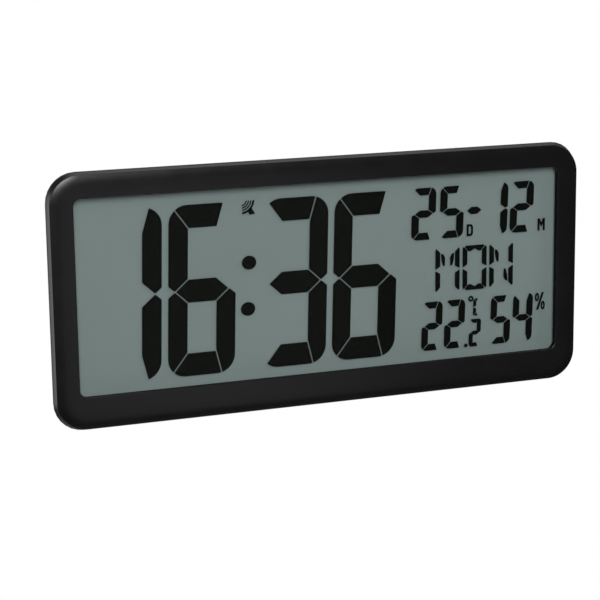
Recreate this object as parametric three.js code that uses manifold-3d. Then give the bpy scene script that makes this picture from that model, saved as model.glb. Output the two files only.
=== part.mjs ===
// Radio-controlled wall clock with a large liquid crystal display.
// Millimetres, +Z up, +X along the width, and the front faces -Y.
// Every piece is drawn at its depth behind the front plane of the window lip, as y from 0 back.
// The whole group then moves forward, so that the flat back lies on the wall plane y = 0.
import * as THREE from "three";
import { mergeVertices } from "three/addons/utils/BufferGeometryUtils.js";
import Module from "manifold-3d";

const wasm = await Module();
wasm.setup();

// Window and borders, which give the outline of the case
const windowWidth = 335.3;
const windowHeight = 126.4;
const windowCornerRadius = 5;
const borderSide = 16.35;
const borderTop = 16.2;
const borderBottom = 22.4;
const cornerRadius = 19.3;
const leastCornerRadius = 1;

// Front bezel
const wall = 2.2;
const frontEdgeInset = 1.5;
const frontEdgeDrop = 0.8;
const edgeBreak = 0.3;
const crownWidth = 12;
const crownPower = 2;
const rollWidth = 5;
const rollDrop = 0.5;
const rollPower = 2.4;
const lipRound = 0.5;
const seamDepth = 5;
const widestDepth = 6.2;
const bossRadius = 2.5;
const pilotRadius = 1.05;
const bossGap = 0.6;

// Display stack, from the lens back to the holder
const windowRecess = 3;
const lensThickness = 1.5;
const lensOverlap = 2.5;
const lensClearance = 0.25;
const rebateWall = 1.6;
const gasketThickness = 0.4;
const gasketWidth = 1.9;
const glassThickness = 1.3;
const glassOverlap = 2;
const contactLedge = 4;
const reflectorThickness = 0.3;
const holderThickness = 1.6;
const holderRim = 1.2;
const holderRibHeight = 1;
const holderRibPitch = 40;
const fitClearance = 0.3;

// Printed boards and what they carry
const boardThickness = 1.6;
const mainBoardWidth = 230;
const mainBoardHeight = 32;
const mainBoardStand = 1.2;
const zebraWidth = 2.2;
const zebraLength = 196;
const boardEdge = 0.8;
const postRadius = 2.2;
const postInset = 6;
const lowPostRise = 2;
const smallBoardThickness = 1.2;
const driverChipRadius = 9;
const driverChipHeight = 2;
const crystalRadius = 1.5;
const crystalLength = 8;
const crystalLift = 0.1;
const capacitorRadius = 4;
const capacitorHeight = 7;
const smallChipHeight = 1.4;
const receiverChipSize = 6;

// Rear cover
const flangeThickness = 2;
const flangeRound = 1;
const tongueDepth = 1.4;
const tongueWall = 1.2;
const stepInset = 3;
const shoulderDepth = 12;
const shoulderDraft = 0.5;
const housingInset = 10;
const housingDraft = 0.8;
const slopeLength = 8;
const backEdgeRound = 1;
const caseScrewPitch = 150;
const screwHeadRadius = 2.9;
const wellClearance = 1.7;
const wellFloor = 2;
const wellWall = 1.6;
const stiffenerThickness = 1.4;
const stiffenerHeight = 3;
const stiffenerOffset = 31;

// Cells, their bay and the bay's cover
const cellDiameter = 14.5;
const cellLength = 50.5;
const cellNubLength = 1;
const cellNubRadius = 2.75;
const cellGap = 0.6;
const cellRimRound = 0.5;
const bayX = -70;
const bayWall = 1.6;
const bayAir = 2.1;
const bayCoverThickness = 1.8;
const bayCoverSink = 0.1;
const bayCornerRadius = 2;
const bayLedge = 2.8;
const bayCollar = 1.6;
const coverTabWidth = 9;
const coverTabReach = 2;
const coverTabPitch = 18;
const coverLatchWidth = 12;
const coverLatchLength = 9;
const coverLatchSlot = 1.2;
const contactThickness = 0.5;
const contactGap = 0.15;
const contactMargin = 1;
const springLength = 4.6;
const springWireRadius = 0.4;
const springTurns = 3;
const springBaseRadius = 4.4;
const springTipRadius = 2.6;

// Fold-out legs
const legX = 120;
const legPivotFromBottom = 54.5;
const legLength = 41;
const legWidth = 16;
const legThickness = 5;
const legTipThickness = 3.8;
const legWall = 1.5;
const legSideGap = 0.4;
const legSink = 0.3;
const trunnionRadius = 1.8;
const trunnionLength = 2.2;
const trunnionWall = 3;

// Keyholes for two wall screws
const keyholePitch = 220;
const keyholeFromTop = 36.5;
const keyholeEntryRadius = 5;
const keyholeSlotRadius = 2.4;
const keyholeRise = 9;
const keyholePocketDepth = 5;
const keyholePocketWall = 1.4;

// Setting buttons on the back
const buttonCount = 5;
const buttonPitch = 16;
const buttonFirstX = 28;
const buttonZ = 12;
const buttonWidth = 9;
const buttonHeight = 5;
const buttonCornerRadius = 1.2;
const buttonRim = 1;
const buttonSink = 0.4;
const buttonFlange = 1;
const buttonTravel = 0.5;
const buttonStem = 0.8;
const buttonStemRadius = 1.6;
const buttonBoardMargin = 7.5;
const switchBody = 6;
const switchHeight = 3.4;
const switchActuator = 1;
const switchActuatorRadius = 1.7;

// Time signal antenna and receiver
const rodRadius = 4;
const rodLength = 70;
const antennaFromTop = 28.5;
const antennaDepthFromBack = 10;
const coilLength = 26;
const coilRadius = 6.2;
const bobbinFlange = 1.2;
const bobbinRise = 1;
const cradleWidth = 4;
const cradleHeight = 13;
const receiverWidth = 20;
const receiverHeight = 15;
const receiverGap = 8;
const receiverStand = 6;

// Climate sensor behind its vents
const sensorX = 60;
const sensorFromBottom = 34.5;
const sensorBoardWidth = 24;
const sensorBoardHeight = 20;
const sensorSize = 4;
const sensorStand = 2.4;
const ventCount = 5;
const ventPitch = 3.4;
const ventWidth = 1.5;
const ventLength = 12;

// Facets of round forms
const cornerSteps = 7;
const padSteps = 3;
const roundSides = 20;
const holeSides = 12;
const slotSides = 16;
const crownShares = [0, 0.3, 0.6, 0.75, 0.9, 1];

// How far a cutting form runs past the face that it cuts, or a joined one into its neighbour
const over = 1;

// Depths and places that follow from the sizes above
const caseWidth = windowWidth + 2 * borderSide;
const caseHeight = windowHeight + borderTop + borderBottom;
const windowZ = (borderBottom - borderTop) / 2;
const legPivotZ = legPivotFromBottom - caseHeight / 2;
const keyholeZ = caseHeight / 2 - keyholeFromTop;
const antennaZ = caseHeight / 2 - antennaFromTop;
const sensorZ = sensorFromBottom - caseHeight / 2;
const lensBack = windowRecess + lensThickness;
const glassFront = lensBack + gasketThickness;
const glassMiddle = glassFront + glassThickness;
const glassBack = glassMiddle + glassThickness;
const reflectorBack = glassBack + reflectorThickness;
const holderBack = reflectorBack + holderThickness;
const bayFloor = holderBack + bayAir + bayWall;
const cellDepth = bayFloor + fitClearance + cellDiameter / 2;
const bayLedgeDepth = cellDepth + cellDiameter / 2 + fitClearance;
const caseDepth = bayLedgeDepth + bayCoverThickness;
const backInner = caseDepth - wall;
const mainBoardFront = holderBack + mainBoardStand;
const mainBoardBack = mainBoardFront + boardThickness;
const cavityInset = frontEdgeInset + wall;
const tongueInset = cavityInset + fitClearance;
const coverInset = tongueInset + tongueWall;
const glassHalfX = windowWidth / 2 + glassOverlap;
const glassTop = windowZ + windowHeight / 2 + glassOverlap;
const rearGlassBottom = windowZ - windowHeight / 2 - glassOverlap;
const glassBottom = rearGlassBottom - contactLedge;
const holderGrow = fitClearance + holderRim;
const zebraZ = rearGlassBottom - contactLedge / 2;
const mainBoardBottom = zebraZ - zebraWidth / 2 - boardEdge;
const mainBoardTop = mainBoardBottom + mainBoardHeight;
const sideBossX = glassHalfX + holderGrow + bossGap + bossRadius;
const sideBossZ = 40;
const wellRadius = screwHeadRadius + wellClearance;
const tubeRadius = wellRadius + wellWall;
const seatDepth = holderBack + bossGap;
const topBossZ = glassTop + holderGrow + bossGap + bossRadius;
const bottomBossZ = mainBoardBottom - bossGap - tubeRadius;
const cellPitch = cellDiameter + cellGap;
const bayHeight = cellPitch + cellDiameter + 2 * fitClearance;
const bayLength = cellLength + springLength + fitClearance + 2 * contactThickness;
const legAxisDepth = caseDepth - legSink - legThickness / 2;
const legRecessFloor = legAxisDepth - legThickness / 2 - fitClearance;
const legRecessHalf = legWidth / 2 + legSideGap;
const buttonFlangeBack = backInner - fitClearance;
const buttonStemEnd = buttonFlangeBack - buttonFlange - buttonStem;
const switchTop = buttonStemEnd - buttonTravel - fitClearance;
const buttonBoardBack = switchTop - switchActuator - switchHeight;
const buttonBoardFront = buttonBoardBack - boardThickness;
const buttonBoardWidth = buttonPitch * buttonCount;
const buttonBoardHeight = buttonHeight + 2 * buttonBoardMargin;
const buttonBoardX = buttonFirstX + (buttonCount - 1) * buttonPitch / 2;
const antennaDepth = caseDepth - antennaDepthFromBack;
const receiverX = rodLength / 2 + receiverWidth / 2 + receiverGap;
const receiverBoardBack = backInner - receiverStand;
const sensorBoardBack = backInner - sensorStand;

// Colours are the part's own, as seen in daylight
function finish(color, roughness, metalness) {
  return new THREE.MeshStandardMaterial({ color, roughness, metalness, flatShading: true });
}

// A closed geometry as a solid that can be joined and cut
function solid(geometry) {
  const bare = geometry.clone();
  bare.deleteAttribute("normal");
  bare.deleteAttribute("uv");
  const merged = mergeVertices(bare);
  const vertProperties = new Float32Array(merged.attributes.position.array);
  const triVerts = new Uint32Array(merged.index.array);
  return new wasm.Manifold(new wasm.Mesh({ numProp: 3, vertProperties, triVerts }));
}

// The solid's own triangles, as a geometry for a mesh
function geometryOf(body) {
  const { vertProperties, triVerts } = body.getMesh();
  const geometry = new THREE.BufferGeometry();
  geometry.setAttribute("position", new THREE.BufferAttribute(new Float32Array(vertProperties), 3));
  geometry.setIndex(new THREE.BufferAttribute(new Uint32Array(triVerts), 1));
  geometry.computeVertexNormals();
  return geometry;
}

function piece(name, body, material) {
  const mesh = new THREE.Mesh(geometryOf(body), material);
  mesh.name = name;
  return mesh;
}

function joined(bodies) {
  return bodies.reduce((sum, body) => sum.add(body));
}

function cut(body, tools) {
  return tools.reduce((rest, tool) => rest.subtract(tool), body);
}

// A block between two corners
function block([x0, y0, z0], [x1, y1, z1]) {
  const geometry = new THREE.BoxGeometry(x1 - x0, y1 - y0, z1 - z0);
  geometry.translate((x0 + x1) / 2, (y0 + y1) / 2, (z0 + z1) / 2);
  return solid(geometry);
}

// A round post along Y
function post(radius, y0, y1, x, z, sides = roundSides) {
  const geometry = new THREE.CylinderGeometry(radius, radius, y1 - y0, sides);
  geometry.translate(x, (y0 + y1) / 2, z);
  return solid(geometry);
}

// A round bar along X
function bar(radius, x0, x1, y, z, sides = roundSides) {
  const geometry = new THREE.CylinderGeometry(radius, radius, x1 - x0, sides);
  geometry.rotateZ(-Math.PI / 2);
  geometry.translate((x0 + x1) / 2, y, z);
  return solid(geometry);
}

// The rounded rectangle that every outline of the case is made from
function roundedOutline({ halfX, halfZ, radius }, steps) {
  const points = [];
  [[1, 1], [-1, 1], [-1, -1], [1, -1]].forEach(([signX, signZ], corner) => {
    for (let step = 0; step <= steps; step += 1) {
      const angle = (corner + step / steps) * Math.PI / 2;
      const x = signX * (halfX - radius) + radius * Math.cos(angle);
      const z = signZ * (halfZ - radius) + radius * Math.sin(angle);
      points.push([x, z]);
    }
  });
  return points;
}

// A loft through rounded rectangles stacked from front to back, closed at both ends
function loft(rings, centreX = 0, centreZ = 0, steps = cornerSteps) {
  const count = 4 * (steps + 1);
  const positions = [];
  rings.forEach((ring) => {
    roundedOutline(ring, steps).forEach(([x, z]) => positions.push(x + centreX, ring.y, z + centreZ));
  });
  const faces = [];
  for (let row = 0; row + 1 < rings.length; row += 1) {
    for (let k = 0; k < count; k += 1) {
      const here = row * count + k;
      const next = row * count + (k + 1) % count;
      faces.push(here, here + count, next);
      faces.push(next, here + count, next + count);
    }
  }
  const last = (rings.length - 1) * count;
  for (let k = 1; k + 1 < count; k += 1) {
    faces.push(0, k, k + 1);
    faces.push(last, last + k + 1, last + k);
  }
  const geometry = new THREE.BufferGeometry();
  geometry.setAttribute("position", new THREE.Float32BufferAttribute(positions, 3));
  geometry.setIndex(faces);
  return solid(geometry);
}

// An outline of the case, drawn in by an inset from its widest line
function caseRing(y, inset) {
  return {
    y,
    halfX: caseWidth / 2 - inset,
    halfZ: caseHeight / 2 - inset,
    radius: Math.max(cornerRadius - inset, leastCornerRadius),
  };
}

// An outline of the window, grown outward
function windowRing(y, grow) {
  return {
    y,
    halfX: windowWidth / 2 + grow,
    halfZ: windowHeight / 2 + grow,
    radius: windowCornerRadius + grow,
  };
}

// A rounded plate or pad of its own size
function pad(width, height, radius, y0, y1, x = 0, z = 0) {
  const size = { halfX: width / 2, halfZ: height / 2, radius };
  return loft([{ y: y0, ...size }, { y: y1, ...size }], x, z, padSteps);
}

// The side band widens evenly from the front edge to the widest line
function bandInset(y) {
  return frontEdgeInset * (widestDepth - y) / (widestDepth - frontEdgeDrop);
}

function caseScrewPlaces() {
  return [-caseScrewPitch, 0, caseScrewPitch].flatMap((x) => [[x, topBossZ], [x, bottomBossZ]]);
}

function sideBossPlaces() {
  return [-sideBossX, sideBossX].flatMap((x) => [[x, sideBossZ], [x, -sideBossZ]]);
}

// Rings of the band keep the full corner radius, so its front corners look as round as its back ones
function bandRing(y) {
  return { ...caseRing(y, bandInset(y)), radius: cornerRadius };
}

// The face falls away slowly over the crown, and rolls over faster close to the edge
function crownFall(inward) {
  const reach = 1 - inward / crownWidth;
  const roll = Math.max(0, 1 - inward / rollWidth);
  return (frontEdgeDrop - rollDrop) * reach ** crownPower + rollDrop * roll ** rollPower;
}

// Crowned outer skin of the bezel, from the flat face round the front edge to the seam
function bezelSkin() {
  const rings = crownShares.map((share) => {
    const inward = crownWidth * (1 - share);
    const ring = caseRing(crownFall(inward), frontEdgeInset + edgeBreak + inward);
    return { ...ring, radius: cornerRadius - edgeBreak - inward };
  });
  return loft([...rings, bandRing(frontEdgeDrop + edgeBreak), bandRing(seamDepth)]);
}

// The window is rounded at its lip, and behind it lies a deeper pocket for the lens
function windowCuts() {
  const rings = [windowRing(-over, lipRound)];
  const lipSteps = 4;
  for (let step = 0; step <= lipSteps; step += 1) {
    const angle = step / lipSteps * Math.PI / 2;
    rings.push(windowRing(lipRound * (1 - Math.cos(angle)), lipRound * (1 - Math.sin(angle))));
  }
  rings.push(windowRing(windowRecess + over, 0));
  const pocket = lensOverlap + lensClearance;
  return [
    loft(rings, 0, windowZ),
    loft([windowRing(windowRecess, pocket), windowRing(lensBack + over, pocket)], 0, windowZ),
  ];
}

function frontBezel() {
  const cavity = loft([caseRing(wall, cavityInset), caseRing(seamDepth + over, cavityInset)]);
  const rebate = lensOverlap + lensClearance + rebateWall;
  const frame = loft([windowRing(wall / 2, rebate), windowRing(lensBack, rebate)], 0, windowZ);
  const caseBosses = caseScrewPlaces().map(([x, z]) => post(bossRadius, wall / 2, seatDepth, x, z));
  const sideBosses = sideBossPlaces().map(([x, z]) => post(bossRadius, wall / 2, reflectorBack, x, z));
  const shell = joined([cut(bezelSkin(), [cavity]), frame, ...caseBosses, ...sideBosses]);
  const pilotStart = wall + bossGap;
  const pilots = [
    ...caseScrewPlaces().map(([x, z]) => post(pilotRadius, pilotStart, seatDepth + over, x, z, holeSides)),
    ...sideBossPlaces().map(([x, z]) => post(pilotRadius, pilotStart, reflectorBack + over, x, z, holeSides)),
  ];
  return piece("front_bezel", cut(shell, [...windowCuts(), ...pilots]), finish("#26282b", 0.42, 0));
}

function windowLens() {
  const rings = [windowRing(windowRecess, lensOverlap), windowRing(lensBack, lensOverlap)];
  return piece("window_lens", loft(rings, 0, windowZ), finish("#dfe6e4", 0.08, 0));
}

// A thin foam frame keeps dust out between the lens and the display
function windowGasket() {
  const inner = lensOverlap - gasketWidth;
  const ring = loft([windowRing(lensBack, lensOverlap), windowRing(glassFront, lensOverlap)]);
  const opening = loft([windowRing(lensBack - over, inner), windowRing(glassFront + over, inner)]);
  const gasket = piece("window_gasket", ring.subtract(opening), finish("#141414", 0.95, 0));
  gasket.position.z = windowZ;
  return gasket;
}

// Two sheets of glass, of which the front one reaches further down to carry the contacts
function displayGlass() {
  const front = block([-glassHalfX, glassFront, glassBottom], [glassHalfX, glassMiddle, glassTop]);
  const rear = block([-glassHalfX, glassMiddle, rearGlassBottom], [glassHalfX, glassBack, glassTop]);
  const film = block([-glassHalfX, glassBack, rearGlassBottom], [glassHalfX, reflectorBack, glassTop]);
  return [
    piece("lcd_front_glass", front, finish("#cfd6d2", 0.05, 0)),
    piece("lcd_rear_glass", rear, finish("#cfd6d2", 0.05, 0)),
    piece("lcd_reflector", film, finish("#8f9b98", 0.5, 0)),
  ];
}

// A tray behind the display, with ears for its screws, ribs and four board posts
function displayHolder() {
  const halfX = glassHalfX + holderGrow;
  const low = glassBottom - holderGrow;
  const high = glassTop + holderGrow;
  const tray = block([-halfX, glassFront, low], [halfX, holderBack, high]);
  const glassRoom = block(
    [-glassHalfX - fitClearance, glassFront - over, glassBottom - fitClearance],
    [glassHalfX + fitClearance, reflectorBack, glassTop + fitClearance],
  );
  const ears = sideBossPlaces().flatMap(([x, z]) => {
    const reach = Math.sign(x) * halfX;
    const earLow = [Math.min(x, reach), reflectorBack, z - bossRadius];
    const earHigh = [Math.max(x, reach), holderBack, z + bossRadius];
    return [post(bossRadius + bossGap, reflectorBack, holderBack, x, z), block(earLow, earHigh)];
  });
  const earHoles = sideBossPlaces().map(([x, z]) => (
    post(pilotRadius + fitClearance, glassFront, caseDepth, x, z, holeSides)
  ));
  const slotHalf = zebraWidth / 2 + fitClearance;
  const slotEnd = zebraLength / 2 + fitClearance;
  const zebraSlot = block([-slotEnd, glassFront, zebraZ - slotHalf], [slotEnd, caseDepth, zebraZ + slotHalf]);
  const ribs = [];
  const ribTop = topBossZ - tubeRadius - bossGap;
  for (let x = -halfX + holderRibPitch; x < halfX - holderRibPitch / 2; x += holderRibPitch) {
    const ribHalf = holderRim / 2;
    const ribLow = [x - ribHalf, reflectorBack, mainBoardTop + boardEdge];
    ribs.push(block(ribLow, [x + ribHalf, holderBack + holderRibHeight, ribTop]));
  }
  const posts = mainBoardPosts().map(([x, z]) => post(postRadius, reflectorBack, mainBoardFront, x, z));
  const body = joined([cut(tray, [glassRoom]), ...ears, ...ribs, ...posts]);
  return piece("lcd_holder", cut(body, [...earHoles, zebraSlot]), finish("#e9e7e0", 0.6, 0));
}

function mainBoardPosts() {
  const x = mainBoardWidth / 2 - postInset;
  const low = mainBoardBottom + postInset + lowPostRise;
  return [-x, x].flatMap((side) => [[side, low], [side, mainBoardTop - postInset]]);
}

// The rubber strip that joins the contacts on the glass to those on the board
function zebraStrip() {
  const half = zebraWidth / 2;
  const low = [-zebraLength / 2, glassMiddle, zebraZ - half];
  const strip = block(low, [zebraLength / 2, mainBoardFront, zebraZ + half]);
  return piece("zebra_strip", strip, finish("#d8a6a0", 0.9, 0));
}

// A low dome of black resin over a chip
function resinDome(radius, height) {
  const profile = [new THREE.Vector2(0, 0), new THREE.Vector2(radius, 0)];
  const steps = 4;
  for (let step = 1; step <= steps; step += 1) {
    const angle = step / steps * Math.PI / 2;
    profile.push(new THREE.Vector2(radius * Math.cos(angle), height * Math.sin(angle)));
  }
  profile[profile.length - 1].x = 0;
  return solid(new THREE.LatheGeometry(profile, roundSides));
}

function mainBoardPieces() {
  const halfX = mainBoardWidth / 2;
  const plate = block([-halfX, mainBoardFront, mainBoardBottom], [halfX, mainBoardBack, mainBoardTop]);
  const holes = mainBoardPosts().map(([x, z]) => (
    post(pilotRadius, mainBoardFront - over, mainBoardBack + over, x, z, holeSides)
  ));
  const board = piece("main_board", cut(plate, holes), finish("#1f5b3a", 0.55, 0));
  const middleZ = (mainBoardBottom + mainBoardTop) / 2;
  const chips = [-1, 1].map((side, index) => {
    const dome = resinDome(driverChipRadius, driverChipHeight);
    const chip = piece(`driver_chip_${index + 1}`, dome, finish("#151515", 0.35, 0));
    chip.position.set(side * mainBoardWidth / 5, mainBoardBack, middleZ);
    return chip;
  });
  const can = bar(crystalRadius, -crystalLength / 2, crystalLength / 2, 0, 0, holeSides);
  const crystal = piece("crystal_can", can, finish("#c8c8c8", 0.3, 1));
  crystal.position.set(-mainBoardWidth / 10, mainBoardBack + crystalRadius + crystalLift, middleZ);
  const drum = post(capacitorRadius, 0, capacitorHeight, 0, 0);
  const capacitor = piece("filter_capacitor", drum, finish("#2b2b3a", 0.4, 0));
  capacitor.position.set(mainBoardWidth / 10, mainBoardBack, middleZ);
  return [board, ...chips, crystal, capacitor];
}

// Outer skin of the rear cover: flange, step, shoulder, slope and flat back
function coverSkin() {
  const flangeBack = seamDepth + flangeThickness;
  const slopeEnd = shoulderDepth + slopeLength;
  return loft([
    bandRing(seamDepth),
    caseRing(widestDepth, 0),
    caseRing(flangeBack - flangeRound / 3, flangeRound / 2),
    caseRing(flangeBack, flangeRound),
    caseRing(flangeBack, stepInset),
    caseRing(shoulderDepth, stepInset + shoulderDraft),
    caseRing(slopeEnd, housingInset),
    caseRing(caseDepth - backEdgeRound, housingInset + housingDraft),
    caseRing(caseDepth - backEdgeRound * 0.3, housingInset + housingDraft + backEdgeRound * 0.3),
    caseRing(caseDepth, housingInset + housingDraft + backEdgeRound),
  ]);
}

// The room inside the rear cover, one wall smaller
function coverRoom() {
  const slopeEnd = shoulderDepth + slopeLength;
  return loft([
    caseRing(seamDepth - tongueDepth - over, coverInset),
    caseRing(shoulderDepth, stepInset + shoulderDraft + wall),
    caseRing(slopeEnd - wall / 3, housingInset + wall),
    caseRing(backInner, housingInset + housingDraft + wall),
  ]);
}

function tongue() {
  return loft([caseRing(seamDepth - tongueDepth, tongueInset), caseRing(seamDepth + over, tongueInset)]);
}

// Tubes that carry the case screws, with their wells open to the back
function screwTubes() {
  return caseScrewPlaces().map(([x, z]) => post(tubeRadius, seatDepth, caseDepth - wall, x, z));
}

function screwWells() {
  return caseScrewPlaces().flatMap(([x, z]) => [
    post(wellRadius, seatDepth + wellFloor, caseDepth + over, x, z),
    post(pilotRadius + fitClearance, seatDepth - over, seatDepth + wellFloor + over, x, z, holeSides),
  ]);
}

// The bay for the cells is a box let into the back, with a collar that its cover rests on
function bayBlocks() {
  const halfX = bayLength / 2;
  const halfZ = bayHeight / 2;
  const rim = bayLedge + bayCollar;
  return [
    block(
      [bayX - halfX - bayWall, bayFloor - bayWall, -halfZ - bayWall],
      [bayX + halfX + bayWall, caseDepth - wall / 2, halfZ + bayWall],
    ),
    block(
      [bayX - halfX - rim - coverTabReach, bayLedgeDepth - wall, -halfZ - rim],
      [bayX + halfX + rim, caseDepth - wall / 2, halfZ + rim],
    ),
  ];
}

function bayCuts() {
  const halfX = bayLength / 2;
  const halfZ = bayHeight / 2;
  const edgeX = halfX + bayLedge;
  const edgeZ = halfZ + bayLedge;
  const tabHalf = coverTabWidth / 2 + fitClearance;
  const notches = [-coverTabPitch / 2, coverTabPitch / 2].map((z) => block(
    [bayX - edgeX - coverTabReach, bayLedgeDepth, z - tabHalf],
    [bayX - halfX, caseDepth + over, z + tabHalf],
  ));
  return [
    block([bayX - halfX, bayFloor, -halfZ], [bayX + halfX, caseDepth + over, halfZ]),
    pad(2 * edgeX, 2 * edgeZ, bayCornerRadius, bayLedgeDepth, caseDepth + over, bayX, 0),
    ...notches,
  ];
}

// Keyholes: a pocket for the screw's head behind a round entry and a slot that leads up
function keyholePlaces() {
  return [-keyholePitch / 2, keyholePitch / 2];
}

function keyholeBlocks() {
  const half = keyholeEntryRadius + keyholePocketWall;
  return keyholePlaces().map((x) => block(
    [x - half, backInner - keyholePocketDepth - keyholePocketWall, keyholeZ - half],
    [x + half, caseDepth - wall / 2, keyholeZ + keyholeRise + half],
  ));
}

function keyholeCuts() {
  const half = keyholeEntryRadius;
  const slot = keyholeSlotRadius;
  const pocketFloor = backInner - keyholePocketDepth;
  return keyholePlaces().flatMap((x) => [
    block([x - half, pocketFloor, keyholeZ - half], [x + half, backInner, keyholeZ + keyholeRise + half]),
    post(keyholeEntryRadius, backInner - over, caseDepth + over, x, keyholeZ),
    post(slot, backInner - over, caseDepth + over, x, keyholeZ + keyholeRise, slotSides),
    block([x - slot, backInner - over, keyholeZ], [x + slot, caseDepth + over, keyholeZ + keyholeRise]),
  ]);
}

// Recesses that hold the folded legs, open at the bottom, with blind bores for the trunnions
function legBlocks() {
  const half = legRecessHalf + trunnionWall;
  const top = legPivotZ + legThickness / 2 + fitClearance + bayWall;
  return [-legX, legX].map((x) => block(
    [x - half, legRecessFloor - bayWall, -caseHeight / 2],
    [x + half, caseDepth, top],
  ));
}

function legCuts() {
  const top = legPivotZ + legThickness / 2 + fitClearance;
  const boreRadius = trunnionRadius + fitClearance;
  const boreHalf = legWidth / 2 + trunnionLength + fitClearance;
  return [-legX, legX].flatMap((x) => [
    block(
      [x - legRecessHalf, legRecessFloor, -caseHeight / 2 - over],
      [x + legRecessHalf, caseDepth + over, top],
    ),
    bar(boreRadius, x - boreHalf, x + boreHalf, legAxisDepth, legPivotZ),
  ]);
}

function buttonPlaces() {
  return Array.from({ length: buttonCount }, (_, index) => buttonFirstX + index * buttonPitch);
}

function buttonHoles() {
  const width = buttonWidth + 2 * fitClearance;
  const height = buttonHeight + 2 * fitClearance;
  const radius = buttonCornerRadius + fitClearance;
  return buttonPlaces().map((x) => (
    pad(width, height, radius, backInner - over, caseDepth + over, x, buttonZ)
  ));
}

// Posts inside the back carry the small boards by their corners
function cornerPosts(x, z, width, height, boardBack) {
  const dx = width / 2 - postRadius;
  const dz = height / 2 - postRadius;
  return [[-dx, -dz], [dx, -dz], [-dx, dz], [dx, dz]].map(([ox, oz]) => (
    post(postRadius, boardBack, caseDepth - wall / 2, x + ox, z + oz, holeSides)
  ));
}

// Two cradles grip the ferrite rod near its ends
function cradles() {
  const halfX = cradleWidth / 2;
  const halfZ = cradleHeight / 2;
  const offset = (coilLength + rodLength) / 4;
  return [-offset, offset].map((x) => block(
    [x - halfX, antennaDepth - rodRadius / 2, antennaZ - halfZ],
    [x + halfX, caseDepth - wall / 2, antennaZ + halfZ],
  ));
}

function cradleCuts() {
  const radius = rodRadius + fitClearance / 2;
  const reach = rodLength / 2;
  return [
    bar(radius, -reach, reach, antennaDepth, antennaZ),
    block([-reach, antennaDepth - rodRadius, antennaZ - radius], [reach, antennaDepth, antennaZ + radius]),
  ];
}

function vents() {
  const first = sensorZ - (ventCount - 1) * ventPitch / 2;
  const radius = ventWidth / 2 * 0.99;
  return Array.from({ length: ventCount }, (_, index) => {
    const z = first + index * ventPitch;
    return pad(ventLength, ventWidth, radius, backInner - over, caseDepth + over, sensorX, z);
  });
}

// Long ribs stiffen the back above and below the bay
function stiffeners() {
  const half = stiffenerThickness / 2;
  const reach = caseWidth / 2 - housingInset - 2 * wall;
  return [-stiffenerOffset, stiffenerOffset].map((z) => block(
    [-reach, backInner - stiffenerHeight, z - half],
    [reach, caseDepth - wall / 2, z + half],
  ));
}

function rearCover() {
  const skin = coverSkin();
  const shell = cut(skin.add(tongue()), [coverRoom()]);
  const inside = joined([
    ...screwTubes(),
    ...bayBlocks(),
    ...keyholeBlocks(),
    ...legBlocks(),
    ...cornerPosts(buttonBoardX, buttonZ, buttonBoardWidth, buttonBoardHeight, buttonBoardBack),
    ...cornerPosts(receiverX, antennaZ, receiverWidth, receiverHeight, receiverBoardBack),
    ...cornerPosts(sensorX, sensorZ, sensorBoardWidth, sensorBoardHeight, sensorBoardBack),
    ...stiffeners(),
    ...cradles(),
  ]).intersect(skin);
  const cuts = [
    ...screwWells(),
    ...bayCuts(),
    ...keyholeCuts(),
    ...legCuts(),
    ...buttonHoles(),
    ...cradleCuts(),
    ...vents(),
  ];
  return piece("rear_cover", cut(shell.add(inside), cuts), finish("#2a2c2f", 0.55, 0));
}

// The bay's cover has two tabs on one edge and a springy latch cut into the other
function batteryCover() {
  const edgeX = bayLength / 2 + bayLedge - fitClearance;
  const edgeZ = bayHeight / 2 + bayLedge - fitClearance;
  const back = caseDepth - bayCoverSink;
  const tabHalf = coverTabWidth / 2;
  const tabs = [-coverTabPitch / 2, coverTabPitch / 2].map((z) => block(
    [-edgeX - coverTabReach, bayLedgeDepth, z - tabHalf],
    [-edgeX + over, back, z + tabHalf],
  ));
  const rib = block(
    [-cellLength / 2, bayLedgeDepth - cellGap, -cellGap / 2],
    [cellLength / 2, bayLedgeDepth + over, cellGap / 2],
  );
  const radius = bayCornerRadius - fitClearance;
  const plate = joined([pad(2 * edgeX, 2 * edgeZ, radius, bayLedgeDepth, back), ...tabs, rib]);
  const slots = [-1, 1].map((side) => {
    const z = side * (coverLatchWidth + coverLatchSlot) / 2;
    return block(
      [edgeX - coverLatchLength, bayLedgeDepth - over, z - coverLatchSlot / 2],
      [edgeX + over, back + over, z + coverLatchSlot / 2],
    );
  });
  const cover = piece("battery_cover", cut(plate, slots), finish("#2a2c2f", 0.55, 0));
  cover.position.x = bayX;
  return cover;
}

// A round cell with its raised positive end towards +X
function cellBody() {
  const radius = cellDiameter / 2;
  const shoulder = cellLength - cellNubLength;
  const profile = [
    new THREE.Vector2(0, 0),
    new THREE.Vector2(radius - cellRimRound, 0),
    new THREE.Vector2(radius, cellRimRound),
    new THREE.Vector2(radius, shoulder - cellRimRound),
    new THREE.Vector2(radius - cellRimRound, shoulder),
    new THREE.Vector2(cellNubRadius, shoulder),
    new THREE.Vector2(cellNubRadius, cellLength),
    new THREE.Vector2(0, cellLength),
  ];
  const geometry = new THREE.LatheGeometry(profile, 2 * roundSides);
  geometry.rotateZ(-Math.PI / 2);
  geometry.translate(-cellLength / 2, 0, 0);
  return solid(geometry);
}

// Each cell lies one contact and one spring away from the end that its negative side faces
function cells() {
  const offset = springLength / 2 - fitClearance / 2;
  return [1, -1].map((side, index) => {
    const cell = piece(`battery_${index + 1}`, cellBody(), finish("#3d6b4a", 0.35, 0.3));
    cell.position.set(bayX + side * offset, cellDepth, side * cellPitch / 2);
    cell.rotation.y = side > 0 ? 0 : Math.PI;
    return cell;
  });
}

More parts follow.
